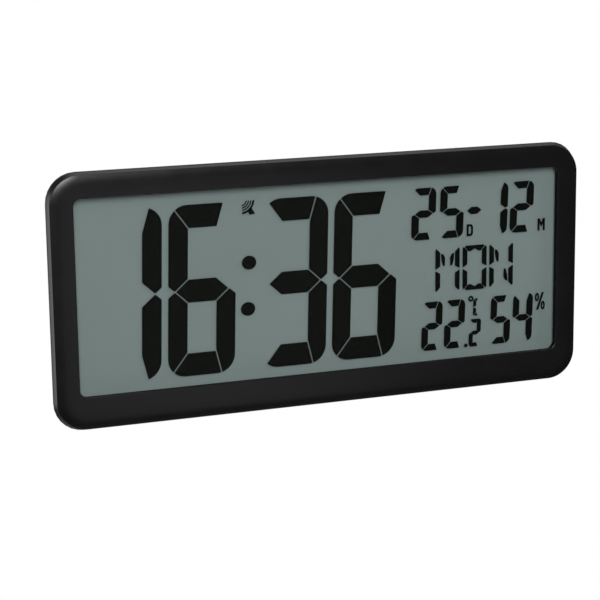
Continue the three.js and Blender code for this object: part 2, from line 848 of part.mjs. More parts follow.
// The spring narrows towards the cell, wound round X
class ConicalSpring extends THREE.Curve {
  getPoint(along, target = new THREE.Vector3()) {
    const angle = along * springTurns * 2 * Math.PI;
    const radius = springBaseRadius + (springTipRadius - springBaseRadius) * along;
    const travel = springLength - 2 * springWireRadius - 2 * contactGap;
    const x = springWireRadius + contactGap + travel * along;
    return target.set(x, radius * Math.cos(angle), radius * Math.sin(angle));
  }
}

function springBody() {
  const section = new THREE.Shape();
  const sides = 6;
  for (let side = 0; side < sides; side += 1) {
    const angle = side / sides * 2 * Math.PI;
    const point = [springWireRadius * Math.cos(angle), springWireRadius * Math.sin(angle)];
    if (side === 0) {
      section.moveTo(...point);
    } else {
      section.lineTo(...point);
    }
  }
  const steps = springTurns * 10;
  return solid(new THREE.ExtrudeGeometry(section, { steps, extrudePath: new ConicalSpring() }));
}

// Metal contacts: one link joins the two cells at the tab end, two plates end the pair
function contacts() {
  const halfX = bayLength / 2;
  const halfZ = bayHeight / 2 - fitClearance;
  const reach = cellDiameter / 2 - contactMargin;
  const low = cellDepth - reach;
  const high = cellDepth + reach;
  const metal = finish("#c9c6bd", 0.35, 1);
  const plate = (x0, z0, z1) => block([x0, low, z0], [x0 + contactThickness, high, z1]);
  const link = piece("contact_link", plate(bayX - halfX, -halfZ, halfZ), metal);
  const right = bayX + halfX - contactThickness;
  const positive = piece("contact_positive", plate(right, contactMargin, halfZ), metal.clone());
  const negative = piece("contact_negative", plate(right, -halfZ, -contactMargin), metal.clone());
  const springs = [1, -1].map((side, index) => {
    const spring = piece(`battery_spring_${index + 1}`, springBody(), metal.clone());
    spring.position.set(bayX - side * (halfX - contactThickness), cellDepth, side * cellPitch / 2);
    spring.rotation.y = side > 0 ? 0 : Math.PI;
    return spring;
  });
  return [link, positive, negative, ...springs];
}

// Side view of a leg: round at the pivot, thinner and round at the tip
function legProfile() {
  const half = legThickness / 2;
  const tipHalf = legTipThickness / 2;
  const shape = new THREE.Shape();
  shape.absarc(0, 0, half, 0, Math.PI, false);
  shape.lineTo(-half, -(legLength - tipHalf));
  shape.absarc(-half + tipHalf, -(legLength - tipHalf), tipHalf, Math.PI, 2 * Math.PI, false);
  shape.closePath();
  return shape;
}

// The profile's x runs towards the room, so the outer face stays flush with the back
function legBody() {
  const settings = { depth: legWidth, bevelEnabled: false, curveSegments: 8 };
  const bars = new THREE.ExtrudeGeometry(legProfile(), settings);
  bars.translate(0, 0, -legWidth / 2);
  const toRow = new THREE.Matrix4().makeBasis(
    new THREE.Vector3(0, -1, 0),
    new THREE.Vector3(0, 0, 1),
    new THREE.Vector3(-1, 0, 0),
  );
  bars.applyMatrix4(toRow);
  const reach = legWidth / 2 + trunnionLength;
  const pin = bar(trunnionRadius, -reach, reach, 0, 0);
  const hollowHalf = legWidth / 2 - legWall;
  const hollow = (zTop, zBottom) => block(
    [-hollowHalf, -legThickness, zBottom],
    [hollowHalf, legThickness / 2 - legWall, zTop],
  );
  const middle = -(legLength + legThickness) / 2;
  const tip = -(legLength - legTipThickness);
  return cut(solid(bars).add(pin), [
    hollow(-legThickness / 2 - legWall, middle + legWall / 2),
    hollow(middle - legWall / 2, tip),
  ]);
}

function legs() {
  return [["leg_left", -legX], ["leg_right", legX]].map(([name, x]) => {
    const leg = piece(name, legBody(), finish("#2a2c2f", 0.55, 0));
    leg.position.set(x, legAxisDepth, legPivotZ);
    return leg;
  });
}

// A button cap with a flange that stops it behind the back, and a stem for its switch
function buttonBody() {
  const flangeFront = buttonFlangeBack - buttonFlange;
  const flangeWidth = buttonWidth + 2 * buttonRim;
  const flangeHeight = buttonHeight + 2 * buttonRim;
  return joined([
    pad(buttonWidth, buttonHeight, buttonCornerRadius, flangeFront, caseDepth - buttonSink),
    pad(flangeWidth, flangeHeight, buttonCornerRadius, flangeFront, buttonFlangeBack),
    post(buttonStemRadius, buttonStemEnd, buttonFlangeBack, 0, 0, holeSides),
  ]);
}

function switchSolid() {
  const half = switchBody / 2;
  const body = block([-half, buttonBoardBack, -half], [half, buttonBoardBack + switchHeight, half]);
  const actuatorStart = buttonBoardBack + switchHeight - over;
  return body.add(post(switchActuatorRadius, actuatorStart, switchTop, 0, 0, holeSides));
}

function buttonPieces() {
  const halfX = buttonBoardWidth / 2;
  const halfZ = buttonBoardHeight / 2;
  const board = block(
    [buttonBoardX - halfX, buttonBoardFront, buttonZ - halfZ],
    [buttonBoardX + halfX, buttonBoardBack, buttonZ + halfZ],
  );
  const pieces = [piece("button_board", board, finish("#1f5b3a", 0.55, 0))];
  buttonPlaces().forEach((x, index) => {
    const cap = piece(`button_${index + 1}`, buttonBody(), finish("#b9bcbd", 0.5, 0));
    const tact = piece(`tact_switch_${index + 1}`, switchSolid(), finish("#1b1b1b", 0.45, 0));
    cap.position.set(x, 0, buttonZ);
    tact.position.set(x, 0, buttonZ);
    pieces.push(cap, tact);
  });
  return pieces;
}

// Ferrite rod with its coil on a flanged bobbin
function antennaPieces() {
  const rodBody = bar(rodRadius, -rodLength / 2, rodLength / 2, 0, 0);
  const rod = piece("ferrite_rod", rodBody, finish("#3a3a3c", 0.7, 0));
  const half = coilLength / 2;
  const inner = rodRadius + fitClearance;
  const flange = coilRadius + bobbinRise;
  const profile = [
    [inner, -half],
    [flange, -half],
    [flange, -half + bobbinFlange],
    [coilRadius, -half + bobbinFlange],
    [coilRadius, half - bobbinFlange],
    [flange, half - bobbinFlange],
    [flange, half],
    [inner, half],
    [inner, -half],
  ].map(([r, y]) => new THREE.Vector2(r, y));
  const winding = new THREE.LatheGeometry(profile, roundSides);
  winding.rotateZ(-Math.PI / 2);
  const coil = piece("antenna_coil", solid(winding), finish("#8a4a22", 0.45, 0.2));
  [rod, coil].forEach((mesh) => mesh.position.set(0, antennaDepth, antennaZ));
  return [rod, coil];
}

// A small board on posts, with one chip in its middle
function smallBoard({ boardName, chipName, x, z, width, height, boardBack, chipSize, chipBehind }) {
  const plate = block([-width / 2, -smallBoardThickness, -height / 2], [width / 2, 0, height / 2]);
  const board = piece(boardName, plate, finish("#1f5b3a", 0.55, 0));
  board.position.set(x, boardBack, z);
  const half = chipSize / 2;
  const chipBody = block([-half, 0, -half], [half, smallChipHeight, half]);
  const chip = piece(chipName, chipBody, finish("#161616", 0.4, 0));
  chip.position.set(x, chipBehind ? boardBack : boardBack - smallBoardThickness - smallChipHeight, z);
  return [board, chip];
}

function receiverPieces() {
  return smallBoard({
    boardName: "receiver_board",
    chipName: "receiver_chip",
    x: receiverX,
    z: antennaZ,
    width: receiverWidth,
    height: receiverHeight,
    boardBack: receiverBoardBack,
    chipSize: receiverChipSize,
    chipBehind: false,
  });
}

function sensorPieces() {
  return smallBoard({
    boardName: "sensor_board",
    chipName: "climate_sensor",
    x: sensorX,
    z: sensorZ,
    width: sensorBoardWidth,
    height: sensorBoardHeight,
    boardBack: sensorBoardBack,
    chipSize: sensorSize,
    chipBehind: true,
  });
}

// The whole clock, moved so that its back lies on the wall plane
const clock = new THREE.Group();
clock.add(
  frontBezel(),
  windowLens(),
  windowGasket(),
  ...displayGlass(),
  displayHolder(),
  zebraStrip(),
  ...mainBoardPieces(),
  rearCover(),
  batteryCover(),
  ...cells(),
  ...contacts(),
  ...legs(),
  ...buttonPieces(),
  ...antennaPieces(),
  ...receiverPieces(),
  ...sensorPieces(),
);
clock.position.y = -caseDepth;

const group = new THREE.Group();
group.add(clock);
group.updateMatrixWorld(true);

export default group;
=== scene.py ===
# %% [markdown]
# # A radio-controlled wall clock
#
# A wide, shallow case of dark moulded ABS frames one large liquid crystal display. The CAD frame brings
# every rigid part in its place. This lesson dresses it: a fine bezel, the dark segments inside the glass,
# softened edges, screws, cells and a material for each finish. All lengths are in metres, +Z is up, and
# the display faces -Y.

import math

import bmesh
import bpy
import numpy as np
from mathutils import Matrix, Vector


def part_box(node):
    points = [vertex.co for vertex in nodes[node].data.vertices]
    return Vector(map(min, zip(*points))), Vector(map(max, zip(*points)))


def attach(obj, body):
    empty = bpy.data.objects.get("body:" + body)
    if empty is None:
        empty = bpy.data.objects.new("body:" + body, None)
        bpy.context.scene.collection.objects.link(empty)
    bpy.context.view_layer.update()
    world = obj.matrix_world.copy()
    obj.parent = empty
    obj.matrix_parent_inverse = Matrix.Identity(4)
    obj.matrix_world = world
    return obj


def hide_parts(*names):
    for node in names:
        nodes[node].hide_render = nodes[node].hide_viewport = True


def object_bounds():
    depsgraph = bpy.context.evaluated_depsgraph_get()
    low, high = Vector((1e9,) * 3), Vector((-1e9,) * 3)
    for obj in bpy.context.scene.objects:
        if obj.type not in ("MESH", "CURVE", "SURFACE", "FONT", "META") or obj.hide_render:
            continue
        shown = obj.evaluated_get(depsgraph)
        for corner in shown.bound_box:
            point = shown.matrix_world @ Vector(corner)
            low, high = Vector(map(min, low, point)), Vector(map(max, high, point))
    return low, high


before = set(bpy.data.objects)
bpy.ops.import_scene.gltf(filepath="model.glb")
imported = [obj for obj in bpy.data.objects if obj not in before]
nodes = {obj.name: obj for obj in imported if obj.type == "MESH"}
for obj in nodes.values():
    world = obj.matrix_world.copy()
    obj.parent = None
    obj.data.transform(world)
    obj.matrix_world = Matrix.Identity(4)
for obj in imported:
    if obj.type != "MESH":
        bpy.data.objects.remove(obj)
cad_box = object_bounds()
MM = 0.001
print("CAD box", [tuple(round(v / MM, 1) for v in corner) for corner in cad_box])

# %% [markdown]
# ## The camera
#
# The picture was taken from the left and a little above, with a long lens that keeps the sides of the
# case nearly parallel. The angles below say where the camera stands round the clock. It looks at a point
# on the front plane, left of the middle and below it, and leans by less than a degree. A camera can be
# moved by eye until the outlines match. These numbers come from fitting the straight edges of the case
# and the window, with a mean error of about 0.15 pixel.

# %% Camera
front_y = cad_box[0].y
AZIMUTH = math.radians(-20.50)
ELEVATION = math.radians(11.973)
ROLL = math.radians(-0.747)
DISTANCE = 1.2091
TARGET = Vector((-19.68 * MM, front_y, -9.65 * MM))
SENSOR_WIDTH = 36
FOCAL_LENGTH = 111.62
NEAREST, FARTHEST = 0.01, 50


def camera_axes(azimuth, elevation, roll):
    """Right, up and back axes. Back points from the target to the camera: its parts are products of the
    sines and cosines of azimuth and elevation. Right is level and square to it, up is square to both,
    and roll turns right and up into each other."""
    back = Vector((
        math.sin(azimuth) * math.cos(elevation),
        -math.cos(azimuth) * math.cos(elevation),
        math.sin(elevation),
    ))
    right = Vector((0, 0, 1)).cross(back).normalized()
    up = back.cross(right)
    rolled_right = math.cos(roll) * right + math.sin(roll) * up
    rolled_up = math.cos(roll) * up - math.sin(roll) * right
    return rolled_right, rolled_up, back


camera_data = bpy.data.cameras.new("camera")
camera_data.sensor_width = SENSOR_WIDTH
camera_data.lens = FOCAL_LENGTH
camera_data.clip_start = NEAREST
camera_data.clip_end = FARTHEST
camera = bpy.data.objects.new("camera", camera_data)
right, up, back = camera_axes(AZIMUTH, ELEVATION, ROLL)
turn = Matrix((right, up, back)).transposed().to_4x4()
camera.matrix_world = Matrix.Translation(TARGET + back * DISTANCE) @ turn
bpy.context.scene.collection.objects.link(camera)
bpy.context.scene.camera = camera
print("camera", [round(v, 3) for v in camera.matrix_world.translation], "lens", camera_data.lens)

# %% [markdown]
# ## Building materials
#
# Colours are written as the sRGB values that a paint chart would give, and one function turns them to the
# linear light that the renderer works in. A second function adds a shader node with its settings and its
# links, so a material reads as a short recipe. Materials could be clicked together in the node editor,
# but a recipe can be read, compared and used again with other numbers.

# %% Colour and node helpers
NOISE_LOW, NOISE_HIGH = 0.3, 0.7  # most of a noise texture's values lie between these


def linear(code):
    """An sRGB hex colour as linear light: below 0.04045 a straight line, above it a power of 2.4."""
    value = np.array([int(code[i:i + 2], 16) for i in (1, 3, 5)]) / 255
    light = np.where(value <= 0.04045, value / 12.92, ((value + 0.055) / 1.055) ** 2.4)
    return (*light.tolist(), 1.0)


def add(tree, kind, inputs=None, **settings):
    """Adds a node. Settings are its properties; inputs are its sockets, as values or as other sockets."""
    node = tree.nodes.new(kind)
    for name, value in settings.items():
        setattr(node, name, value)
    for name, value in (inputs or {}).items():
        if isinstance(value, bpy.types.NodeSocket):
            tree.links.new(value, node.inputs[name])
        else:
            node.inputs[name].default_value = value
    return node


def new_material(name):
    """An empty node material with its output node, and the Object coordinates that patterns read."""
    material = bpy.data.materials.new(name)
    material.use_nodes = True
    tree = material.node_tree
    tree.nodes.clear()
    output = tree.nodes.new("ShaderNodeOutputMaterial")
    place = tree.nodes.new("ShaderNodeTexCoord").outputs["Object"]
    return material, tree, output, place


print("the middle grey #808080 is", round(linear("#808080")[0], 3), "in linear light")

# %% [markdown]
# ## Moulded plastic
#
# The case, the legs and the covers are injection-moulded ABS. The mould was spark-eroded, which leaves a
# fine even grain that scatters the light. Over that lie slow changes of gloss from handling and a trace
# of dust. Two noises do this: one at the grain's size for the bump, one of a few centimetres for the
# gloss and the tone. A picture of grain would repeat and need a map; noise in the part's own coordinates
# does neither.

# %% Moulded plastic
HANDLING_PATCH = 26.3 * MM
DUST_GAIN, DUST_HAZE = 1.22, 0.0008
ABS_IOR = 1.54


def moulded_plastic(name, colour, roughness, grain, depth, uneven=0.06):
    """Moulded plastic: grain is the grain's width and depth its height in metres. The gloss swings by
    uneven to both sides of the roughness, patch by patch. Dust makes a patch paler: the colour times a
    gain, plus a haze."""
    material, tree, output, place = new_material(name)
    fine = add(tree, "ShaderNodeTexNoise", {"Vector": place, "Scale": 1 / grain, "Detail": 3.0})
    slow = add(tree, "ShaderNodeTexNoise", {
        "Vector": place, "Scale": 1 / HANDLING_PATCH, "Detail": 4.0, "Roughness": 0.6,
    })
    gloss = add(tree, "ShaderNodeMapRange", {
        "Value": slow.outputs["Fac"], "From Min": NOISE_LOW, "From Max": NOISE_HIGH,
        "To Min": roughness - uneven, "To Max": roughness + uneven,
    })
    pale = [min(1.0, channel * DUST_GAIN + DUST_HAZE) for channel in linear(colour)[:3]]
    tone = add(tree, "ShaderNodeMix", {
        "Factor": slow.outputs["Fac"], "A": linear(colour), "B": (*pale, 1.0),
    }, data_type="RGBA")
    bump = add(tree, "ShaderNodeBump", {"Height": fine.outputs["Fac"], "Distance": depth, "Strength": 0.6})
    shader = add(tree, "ShaderNodeBsdfPrincipled", {
        "Base Color": tone.outputs["Result"], "Roughness": gloss.outputs["Result"], "IOR": ABS_IOR,
        "Normal": bump.outputs["Normal"],
    })
    tree.links.new(shader.outputs["BSDF"], output.inputs["Surface"])
    return material


# Bezel: fine grain over near black. The sheen is soft and wide, and each turn of the form shows.
bezel_abs = moulded_plastic(
    "satin_moulded_abs", "#0b0b0b", roughness=0.26, grain=0.45 * MM, depth=0.006 * MM, uneven=0.02,
)
# Back: a coarser, deeper grain, which looks a dull dark grey and hides scratches.
cover_abs = moulded_plastic(
    "textured_moulded_abs", "#1e1f21", roughness=0.5, grain=0.7 * MM, depth=0.05 * MM,
)
# Buttons: pale grey, so that they are found on the dark back.
button_abs = moulded_plastic(
    "moulded_button_abs", "#9ea2a3", roughness=0.42, grain=0.5 * MM, depth=0.02 * MM,
)
# Holder: white pigment, which throws the light back through the film.
holder_abs = moulded_plastic(
    "white_moulded_abs", "#dddbd3", roughness=0.5, grain=0.6 * MM, depth=0.02 * MM,
)
# Chips and switches: epoxy moulded round the leads, black and even.
component_black = moulded_plastic(
    "black_moulded_epoxy", "#151517", roughness=0.4, grain=0.3 * MM, depth=0.02 * MM,
)
print("moulded plastics", [m.name for m in (bezel_abs, cover_abs, button_abs, holder_abs, component_black)])

# %% [markdown]
# ## Acrylic and display glass
#
# The window is clear acrylic and the display two sheets of glass. They lie flat and thin over the film,
# so bending of light doesn't show. A refracting shader would cost many bounces and let no direct light
# through. A clear pane is then best made as a see-through shader with a little gloss mixed in, which is
# uneven by smears a few centimetres wide.

# %% Clear panes
SMEAR = 45.5 * MM


def clear_pane(name, tint, gloss_share, roughness):
    """A clear pane: see-through in its tint, with a small fixed share of gloss. Smears carry the gloss's
    roughness from 0.7 to 1.4 times the given one."""
    material, tree, output, place = new_material(name)
    smear = add(tree, "ShaderNodeTexNoise", {"Vector": place, "Scale": 1 / SMEAR, "Detail": 5.0})
    gloss = add(tree, "ShaderNodeMapRange", {
        "Value": smear.outputs["Fac"], "From Min": NOISE_LOW, "From Max": NOISE_HIGH,
        "To Min": roughness * 0.7, "To Max": roughness * 1.4,
    })
    clear = add(tree, "ShaderNodeBsdfTransparent", {"Color": linear(tint)})
    mirror = add(tree, "ShaderNodeBsdfGlossy", {
        "Color": linear("#ffffff"), "Roughness": gloss.outputs["Result"],
    })
    mixed = add(tree, "ShaderNodeMixShader", {0: gloss_share, 1: clear.outputs[0], 2: mirror.outputs[0]})
    tree.links.new(mixed.outputs[0], output.inputs["Surface"])
    return material


# Window: cast acrylic, polished, with hardly any tint.
lens_acrylic = clear_pane("cast_acrylic_pane", "#fdfefe", gloss_share=0.003, roughness=0.1)
# Display: its front polariser is etched, so it mirrors even less and more softly.
display_glass = clear_pane("etched_display_glass", "#fefefe", gloss_share=0.001, roughness=0.3)
print("clear panes", lens_acrylic.name, display_glass.name)

# %% [markdown]
# ## The film and the dark segments
#
# Behind the liquid crystal lies a grey-green foil with an embossed speckle. It is the ground on which the
# segments stand and drop a faint shadow. A speckle of half a millimetre and slow clouds break its colour a
# little. The same recipe in near black makes the segments, where the crystal stops the light.

# %% Reflector film and segment dye
CLOUD = 111 * MM
CONTRAST = 0.07


def speckled_film(name, colour, speckle, roughness):
    """A foil: a speckle of the given width and slow clouds are added up, and their sum carries the colour
    from darker to paler by the contrast."""
    material, tree, output, place = new_material(name)
    fine = add(tree, "ShaderNodeTexNoise", {"Vector": place, "Scale": 1 / speckle, "Detail": 2.0})
    slow = add(tree, "ShaderNodeTexNoise", {"Vector": place, "Scale": 1 / CLOUD, "Detail": 2.0})
    both = add(tree, "ShaderNodeMath", {0: fine.outputs["Fac"], 1: slow.outputs["Fac"]}, operation="ADD")
    share = add(tree, "ShaderNodeMapRange", {
        "Value": both.outputs[0], "From Min": 0.6, "From Max": 1.4, "To Min": 0.0, "To Max": 1.0,
    })
    low = [channel * (1 - CONTRAST) for channel in linear(colour)[:3]]
    high = [channel * (1 + CONTRAST) for channel in linear(colour)[:3]]
    tone = add(tree, "ShaderNodeMix", {
        "Factor": share.outputs["Result"], "A": (*low, 1.0), "B": (*high, 1.0),
    }, data_type="RGBA")
    shader = add(tree, "ShaderNodeBsdfPrincipled", {
        "Base Color": tone.outputs["Result"], "Roughness": roughness, "Specular IOR Level": 0.05,
    })
    tree.links.new(shader.outputs["BSDF"], output.inputs["Surface"])
    return material


# Foil: embossed and dull, a grey with a touch of green from the polariser.
reflector_film = speckled_film("embossed_reflector_film", "#7b8785", speckle=0.6 * MM, roughness=0.8)
# Segments: a black that keeps a little of the foil's green.
segment_dye = speckled_film("liquid_crystal_dark", "#0a0c09", speckle=0.8 * MM, roughness=0.9)
print("film and segments", reflector_film.name, segment_dye.name)

# %% [markdown]
# ## Metals
#
# Behind the cover lie nickel-plated contacts and springs, black screws and a steel crystal can. Metal
# keeps the default IOR. Drawing and plating leave streaks, so a noise is stretched along X until its
# grains are long lines, and it drives both the gloss and a bump of a hundredth of a millimetre. Real
# streaks are finer than that. They are drawn as coarse as they need to be to show at all.

# %% Metal
STREAK_STRETCH = 0.06
STREAK_DEPTH = 0.01 * MM


def plated_metal(name, colour, roughness, streak):
    """Plated or drawn metal, with streaks along X as fine as the given width. They carry the roughness
    from 0.7 to 1.5 times the given one."""
    material, tree, output, place = new_material(name)
    stretch = add(tree, "ShaderNodeMapping", {"Vector": place, "Scale": (STREAK_STRETCH, 1.0, 1.0)})
    lines = add(tree, "ShaderNodeTexNoise", {
        "Vector": stretch.outputs[0], "Scale": 1 / streak, "Detail": 3.0,
    })
    gloss = add(tree, "ShaderNodeMapRange", {
        "Value": lines.outputs["Fac"], "From Min": NOISE_LOW, "From Max": NOISE_HIGH,
        "To Min": roughness * 0.7, "To Max": roughness * 1.5,
    })
    bump = add(tree, "ShaderNodeBump", {
        "Height": lines.outputs["Fac"], "Distance": STREAK_DEPTH, "Strength": 0.5,
    })
    shader = add(tree, "ShaderNodeBsdfPrincipled", {
        "Base Color": linear(colour), "Metallic": 1.0, "Roughness": gloss.outputs["Result"],
        "Normal": bump.outputs["Normal"],
    })
    tree.links.new(shader.outputs["BSDF"], output.inputs["Surface"])
    return material


# Contacts: nickel has a warm, slightly yellow shine.
nickel = plated_metal("nickel_plated_steel", "#c9c5bb", roughness=0.3, streak=0.4 * MM)
# Screws: a black zinc coat, greyer and duller.
zinc_screw = plated_metal("black_zinc_steel", "#6d6f72", roughness=0.38, streak=0.3 * MM)
# Crystal can: steel drawn to a cup, bright and cool.
steel_can = plated_metal("drawn_steel_can", "#c4c6c8", roughness=0.26, streak=0.3 * MM)
print("metals", nickel.name, zinc_screw.name, steel_can.name)

# %% [markdown]
# ## Boards, the striped connector and the winding
#
# Three finishes are stripes. A board's lacquer stands a little higher over its copper tracks, here 1.2 mm
# wide. The rubber connector is layers of plain and carbon-filled silicone. The antenna's winding is turns
# of enamelled wire laid side by side. Layers and wire are finer in reality and are drawn half a
# millimetre wide, so that they show. One wave texture with steep sides serves all three, and its height
# gives the relief. Stripes modelled as meshes would cost thousands of faces on parts that few people see.

# %% Striped finishes
def striped(name, first, second, width, roughness, relief, metallic=0.0):
    """Two colours in turn along X, each a width across: a wave of the position, pushed to steps.
    The texture is a sine of 20 times the scaled position, so half a wave is pi / 20 over the scale."""
    material, tree, output, place = new_material(name)
    wave = add(tree, "ShaderNodeTexWave", {
        "Vector": place, "Scale": math.pi / 20 / width, "Distortion": 0.4, "Detail": 1.0,
        "Detail Scale": 3.0,
    }, wave_type="BANDS", bands_direction="X")
    share = add(tree, "ShaderNodeMapRange", {
        "Value": wave.outputs["Fac"], "From Min": 0.35, "From Max": 0.65, "To Min": 0.0, "To Max": 1.0,
    })
    tone = add(tree, "ShaderNodeMix", {
        "Factor": share.outputs["Result"], "A": linear(first), "B": linear(second),
    }, data_type="RGBA")
    bump = add(tree, "ShaderNodeBump", {
        "Height": wave.outputs["Fac"], "Distance": relief, "Strength": 0.8,
    })
    shader = add(tree, "ShaderNodeBsdfPrincipled", {
        "Base Color": tone.outputs["Result"], "Roughness": roughness, "Metallic": metallic,
        "Normal": bump.outputs["Normal"],
    })
    tree.links.new(shader.outputs["BSDF"], output.inputs["Surface"])
    return material


# Boards: green lacquer, a shade lighter over copper.
solder_mask = striped(
    "green_solder_mask", "#1d4f33", "#256240", width=1.2 * MM, roughness=0.38, relief=0.04 * MM,
)
# Connector: pink silicone between layers dark with carbon.
zebra_rubber = striped(
    "striped_silicone_rubber", "#c9a19b", "#3a3030", width=0.5 * MM, roughness=0.7, relief=0.01 * MM,
)
# Winding: copper under clear enamel, each turn a small ridge, painted lighter on its top and darker in the
# grooves between turns as light and shade.
enamelled_wire = striped(
    "enamelled_copper_wire", "#8f4a1f", "#b56a35", width=0.5 * MM, roughness=0.3, relief=0.1 * MM,
    metallic=0.6,
)
print("striped finishes", solder_mask.name, zebra_rubber.name, enamelled_wire.name)

# %% [markdown]
# ## Foam, ferrite and the cell's sleeve
#
# The gasket is foam with closed cells, and the rod is ferrite powder pressed and fired. Both show small
# rounded pits, which the distance to the nearest of many scattered points gives, with painted shade
# darkening each pit towards its middle. A noise would give hills as well as pits. The AA cells wear a film
# that is shrunk on: smooth and glossy, so it takes the moulded recipe with a shallow grain.

# %% Foam, ferrite and the cell's sleeve
def pored(name, colour, pore, depth, roughness):
    """Foam or sintered stuff: pits of the given width. Both the height and the colour grow with the
    distance from a pit's middle, where the colour is half as bright: painted shade in the pits."""
    material, tree, output, place = new_material(name)
    cells = add(tree, "ShaderNodeTexVoronoi", {"Vector": place, "Scale": 1 / pore})
    # painted shade: the colour is halved at each pit's middle, as if shade lay in the pit
    dark = [channel * 0.5 for channel in linear(colour)[:3]]
    tone = add(tree, "ShaderNodeMix", {
        "Factor": cells.outputs["Distance"], "A": (*dark, 1.0), "B": linear(colour),
    }, data_type="RGBA")
    bump = add(tree, "ShaderNodeBump", {
        "Height": cells.outputs["Distance"], "Distance": depth, "Strength": 0.7,
    })
    shader = add(tree, "ShaderNodeBsdfPrincipled", {
        "Base Color": tone.outputs["Result"], "Roughness": roughness, "Normal": bump.outputs["Normal"],
    })
    tree.links.new(shader.outputs["BSDF"], output.inputs["Surface"])
    return material


# Gasket: black foam, which gives back almost no light.
gasket_foam = pored("closed_cell_foam", "#1c1c1c", pore=0.5 * MM, depth=0.05 * MM, roughness=0.95)
# Rod: dark grey and stony.
sintered_ferrite = pored("sintered_ferrite", "#3b3b3e", pore=0.4 * MM, depth=0.02 * MM, roughness=0.6)
# Sleeve: a plain green, with no print on it.
cell_sleeve = moulded_plastic(
    "printed_shrink_sleeve", "#2f6b48", roughness=0.25, grain=0.6 * MM, depth=0.01 * MM,
)
print("foam, ferrite and sleeve", gasket_foam.name, sintered_ferrite.name, cell_sleeve.name)

# %% [markdown]
# ## Making a mesh from numbers
#
# Each new surface is worked out as a whole array of points. A grid has rows and columns of points; where
# its columns close on themselves it is a ring, and where its rows do too it is a closed skin with no cap
# to add. One function turns such a grid into an object, points its faces outward and marks the edges
# that should stay sharp. Blender's own primitives and modifiers could make many of these forms, but a
# formula gives their sizes exactly.

# %% Mesh helpers
GRID_MERGE = 1e-7


def finish_mesh(name, points, faces, material, body, sharp=35.0, replaced=()):
    """Makes a mesh object from points and faces, with outward faces, and lets it ride on a body."""
    mesh = bpy.data.meshes.new(name)
    mesh.from_pydata(np.asarray(points, float).tolist(), [], [list(map(int, face)) for face in faces])
    work = bmesh.new()
    work.from_mesh(mesh)
    bmesh.ops.remove_doubles(work, verts=work.verts, dist=GRID_MERGE)
    bmesh.ops.recalc_face_normals(work, faces=work.faces)
    work.to_mesh(mesh)
    work.free()
    mesh.polygons.foreach_set("use_smooth", np.ones(len(mesh.polygons), bool))
    mesh.set_sharp_from_angle(angle=math.radians(sharp))
    mesh.materials.append(material)
    obj = bpy.data.objects.new(name, mesh)
    bpy.context.scene.collection.objects.link(obj)
    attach(obj, body)
    if replaced:
        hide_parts(*replaced)
    return obj


def grid_faces(rows, columns, close_rows=False):
    """Quads of a grid of points, as rows of four indices. A point's index is its row times the number of
    columns, plus its column. The last column joins the first, and the last row too if asked."""
    r, c = np.meshgrid(np.arange(rows if close_rows else rows - 1), np.arange(columns), indexing="ij")
    r_next = (r + 1) % rows
    c_next = (c + 1) % columns
    corners = (r, c), (r, c_next), (r_next, c_next), (r_next, c)
    return np.stack([i * columns + j for i, j in corners], -1).reshape(-1, 4)


def rounded_outline(half_x, half_z, radius, steps=24):
    """A rounded rectangle, anticlockwise from the front: at each corner a quarter circle round a centre
    that lies one radius inside both sides."""
    corner = np.repeat(np.arange(4), steps + 1)
    angle = (corner + np.tile(np.linspace(0, 1, steps + 1), 4)) * math.pi / 2
    sign_x = np.array([1, -1, -1, 1])[corner]
    sign_z = np.array([1, 1, -1, -1])[corner]
    x = sign_x * (half_x - radius) + radius * np.cos(angle)
    z = sign_z * (half_z - radius) + radius * np.sin(angle)
    return np.stack([x, z], -1)


print("a closed skin of 8 by 4 points has", len(grid_faces(8, 4, close_rows=True)), "faces")

# %% [markdown]
# ## The bezel
#
# The bezel is one moulding. Its front is flat by the window and falls away in a shallow crown towards the
# outer edge, which is crisp. Behind that edge a band a few millimetres deep flares out to the seam with
# the rear cover, and it mirrors the white wall. At the window the lip is rounded, and inside it a rebate
# holds the lens. First come the sizes of that section: depths count from the front plane, insets from
# the widest outline.

# %% Bezel sizes, read from the frame and the section
low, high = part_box("rear_cover")
# The outlines of the case and of the window
CASE_HALF_X = (high.x - low.x) / 2
CASE_HALF_Z = (high.z - low.z) / 2
CORNER_RADIUS = 19.3 * MM
WINDOW_HALF_X = 167.65 * MM
WINDOW_HALF_Z = 63.2 * MM
WINDOW_Z = 3.1 * MM
WINDOW_RADIUS = 5 * MM
# The front edge, the crown with its roll, and the side band
EDGE_INSET = 1.5 * MM
EDGE_DROP = 0.8 * MM
EDGE_FILLET = 0.3 * MM
CROWN_WIDTH = 12 * MM
ROLL_WIDTH = 7 * MM
ROLL_DROP = 0.5 * MM
ROLL_POWER = 2.4
SEAM = 5 * MM
WIDEST = 6.2 * MM
SEAM_BREAK = 0.18 * MM
# The wall, the lip and the rebate behind it
WALL = 2.2 * MM
CAVITY_INSET = EDGE_INSET + WALL
LIP = 0.5 * MM
LIP_MARGIN = 0.4 * MM
RECESS = 3 * MM
LENS_BACK = 4.5 * MM
POCKET = 2.75 * MM
REBATE = 4.35 * MM
print("case half width and height", round(CASE_HALF_X / MM, 2), round(CASE_HALF_Z / MM, 2))

# %% [markdown]
# ## Lofting the bezel
#
# The bezel could be cut from a block, but its crown has no simple tool. A loft of rounded rectangles
# makes it: each ring of points is an outline at some depth and inset, and the list of rings walks once
# round the wall's section and comes back to its start. So the skin is closed, and the crown is as smooth
# as its rings are many.

# %% Rings of the bezel
FILLET_STEPS, CROWN_STEPS, LIP_STEPS = 4, 24, 6
LEAST_RADIUS = 1 * MM


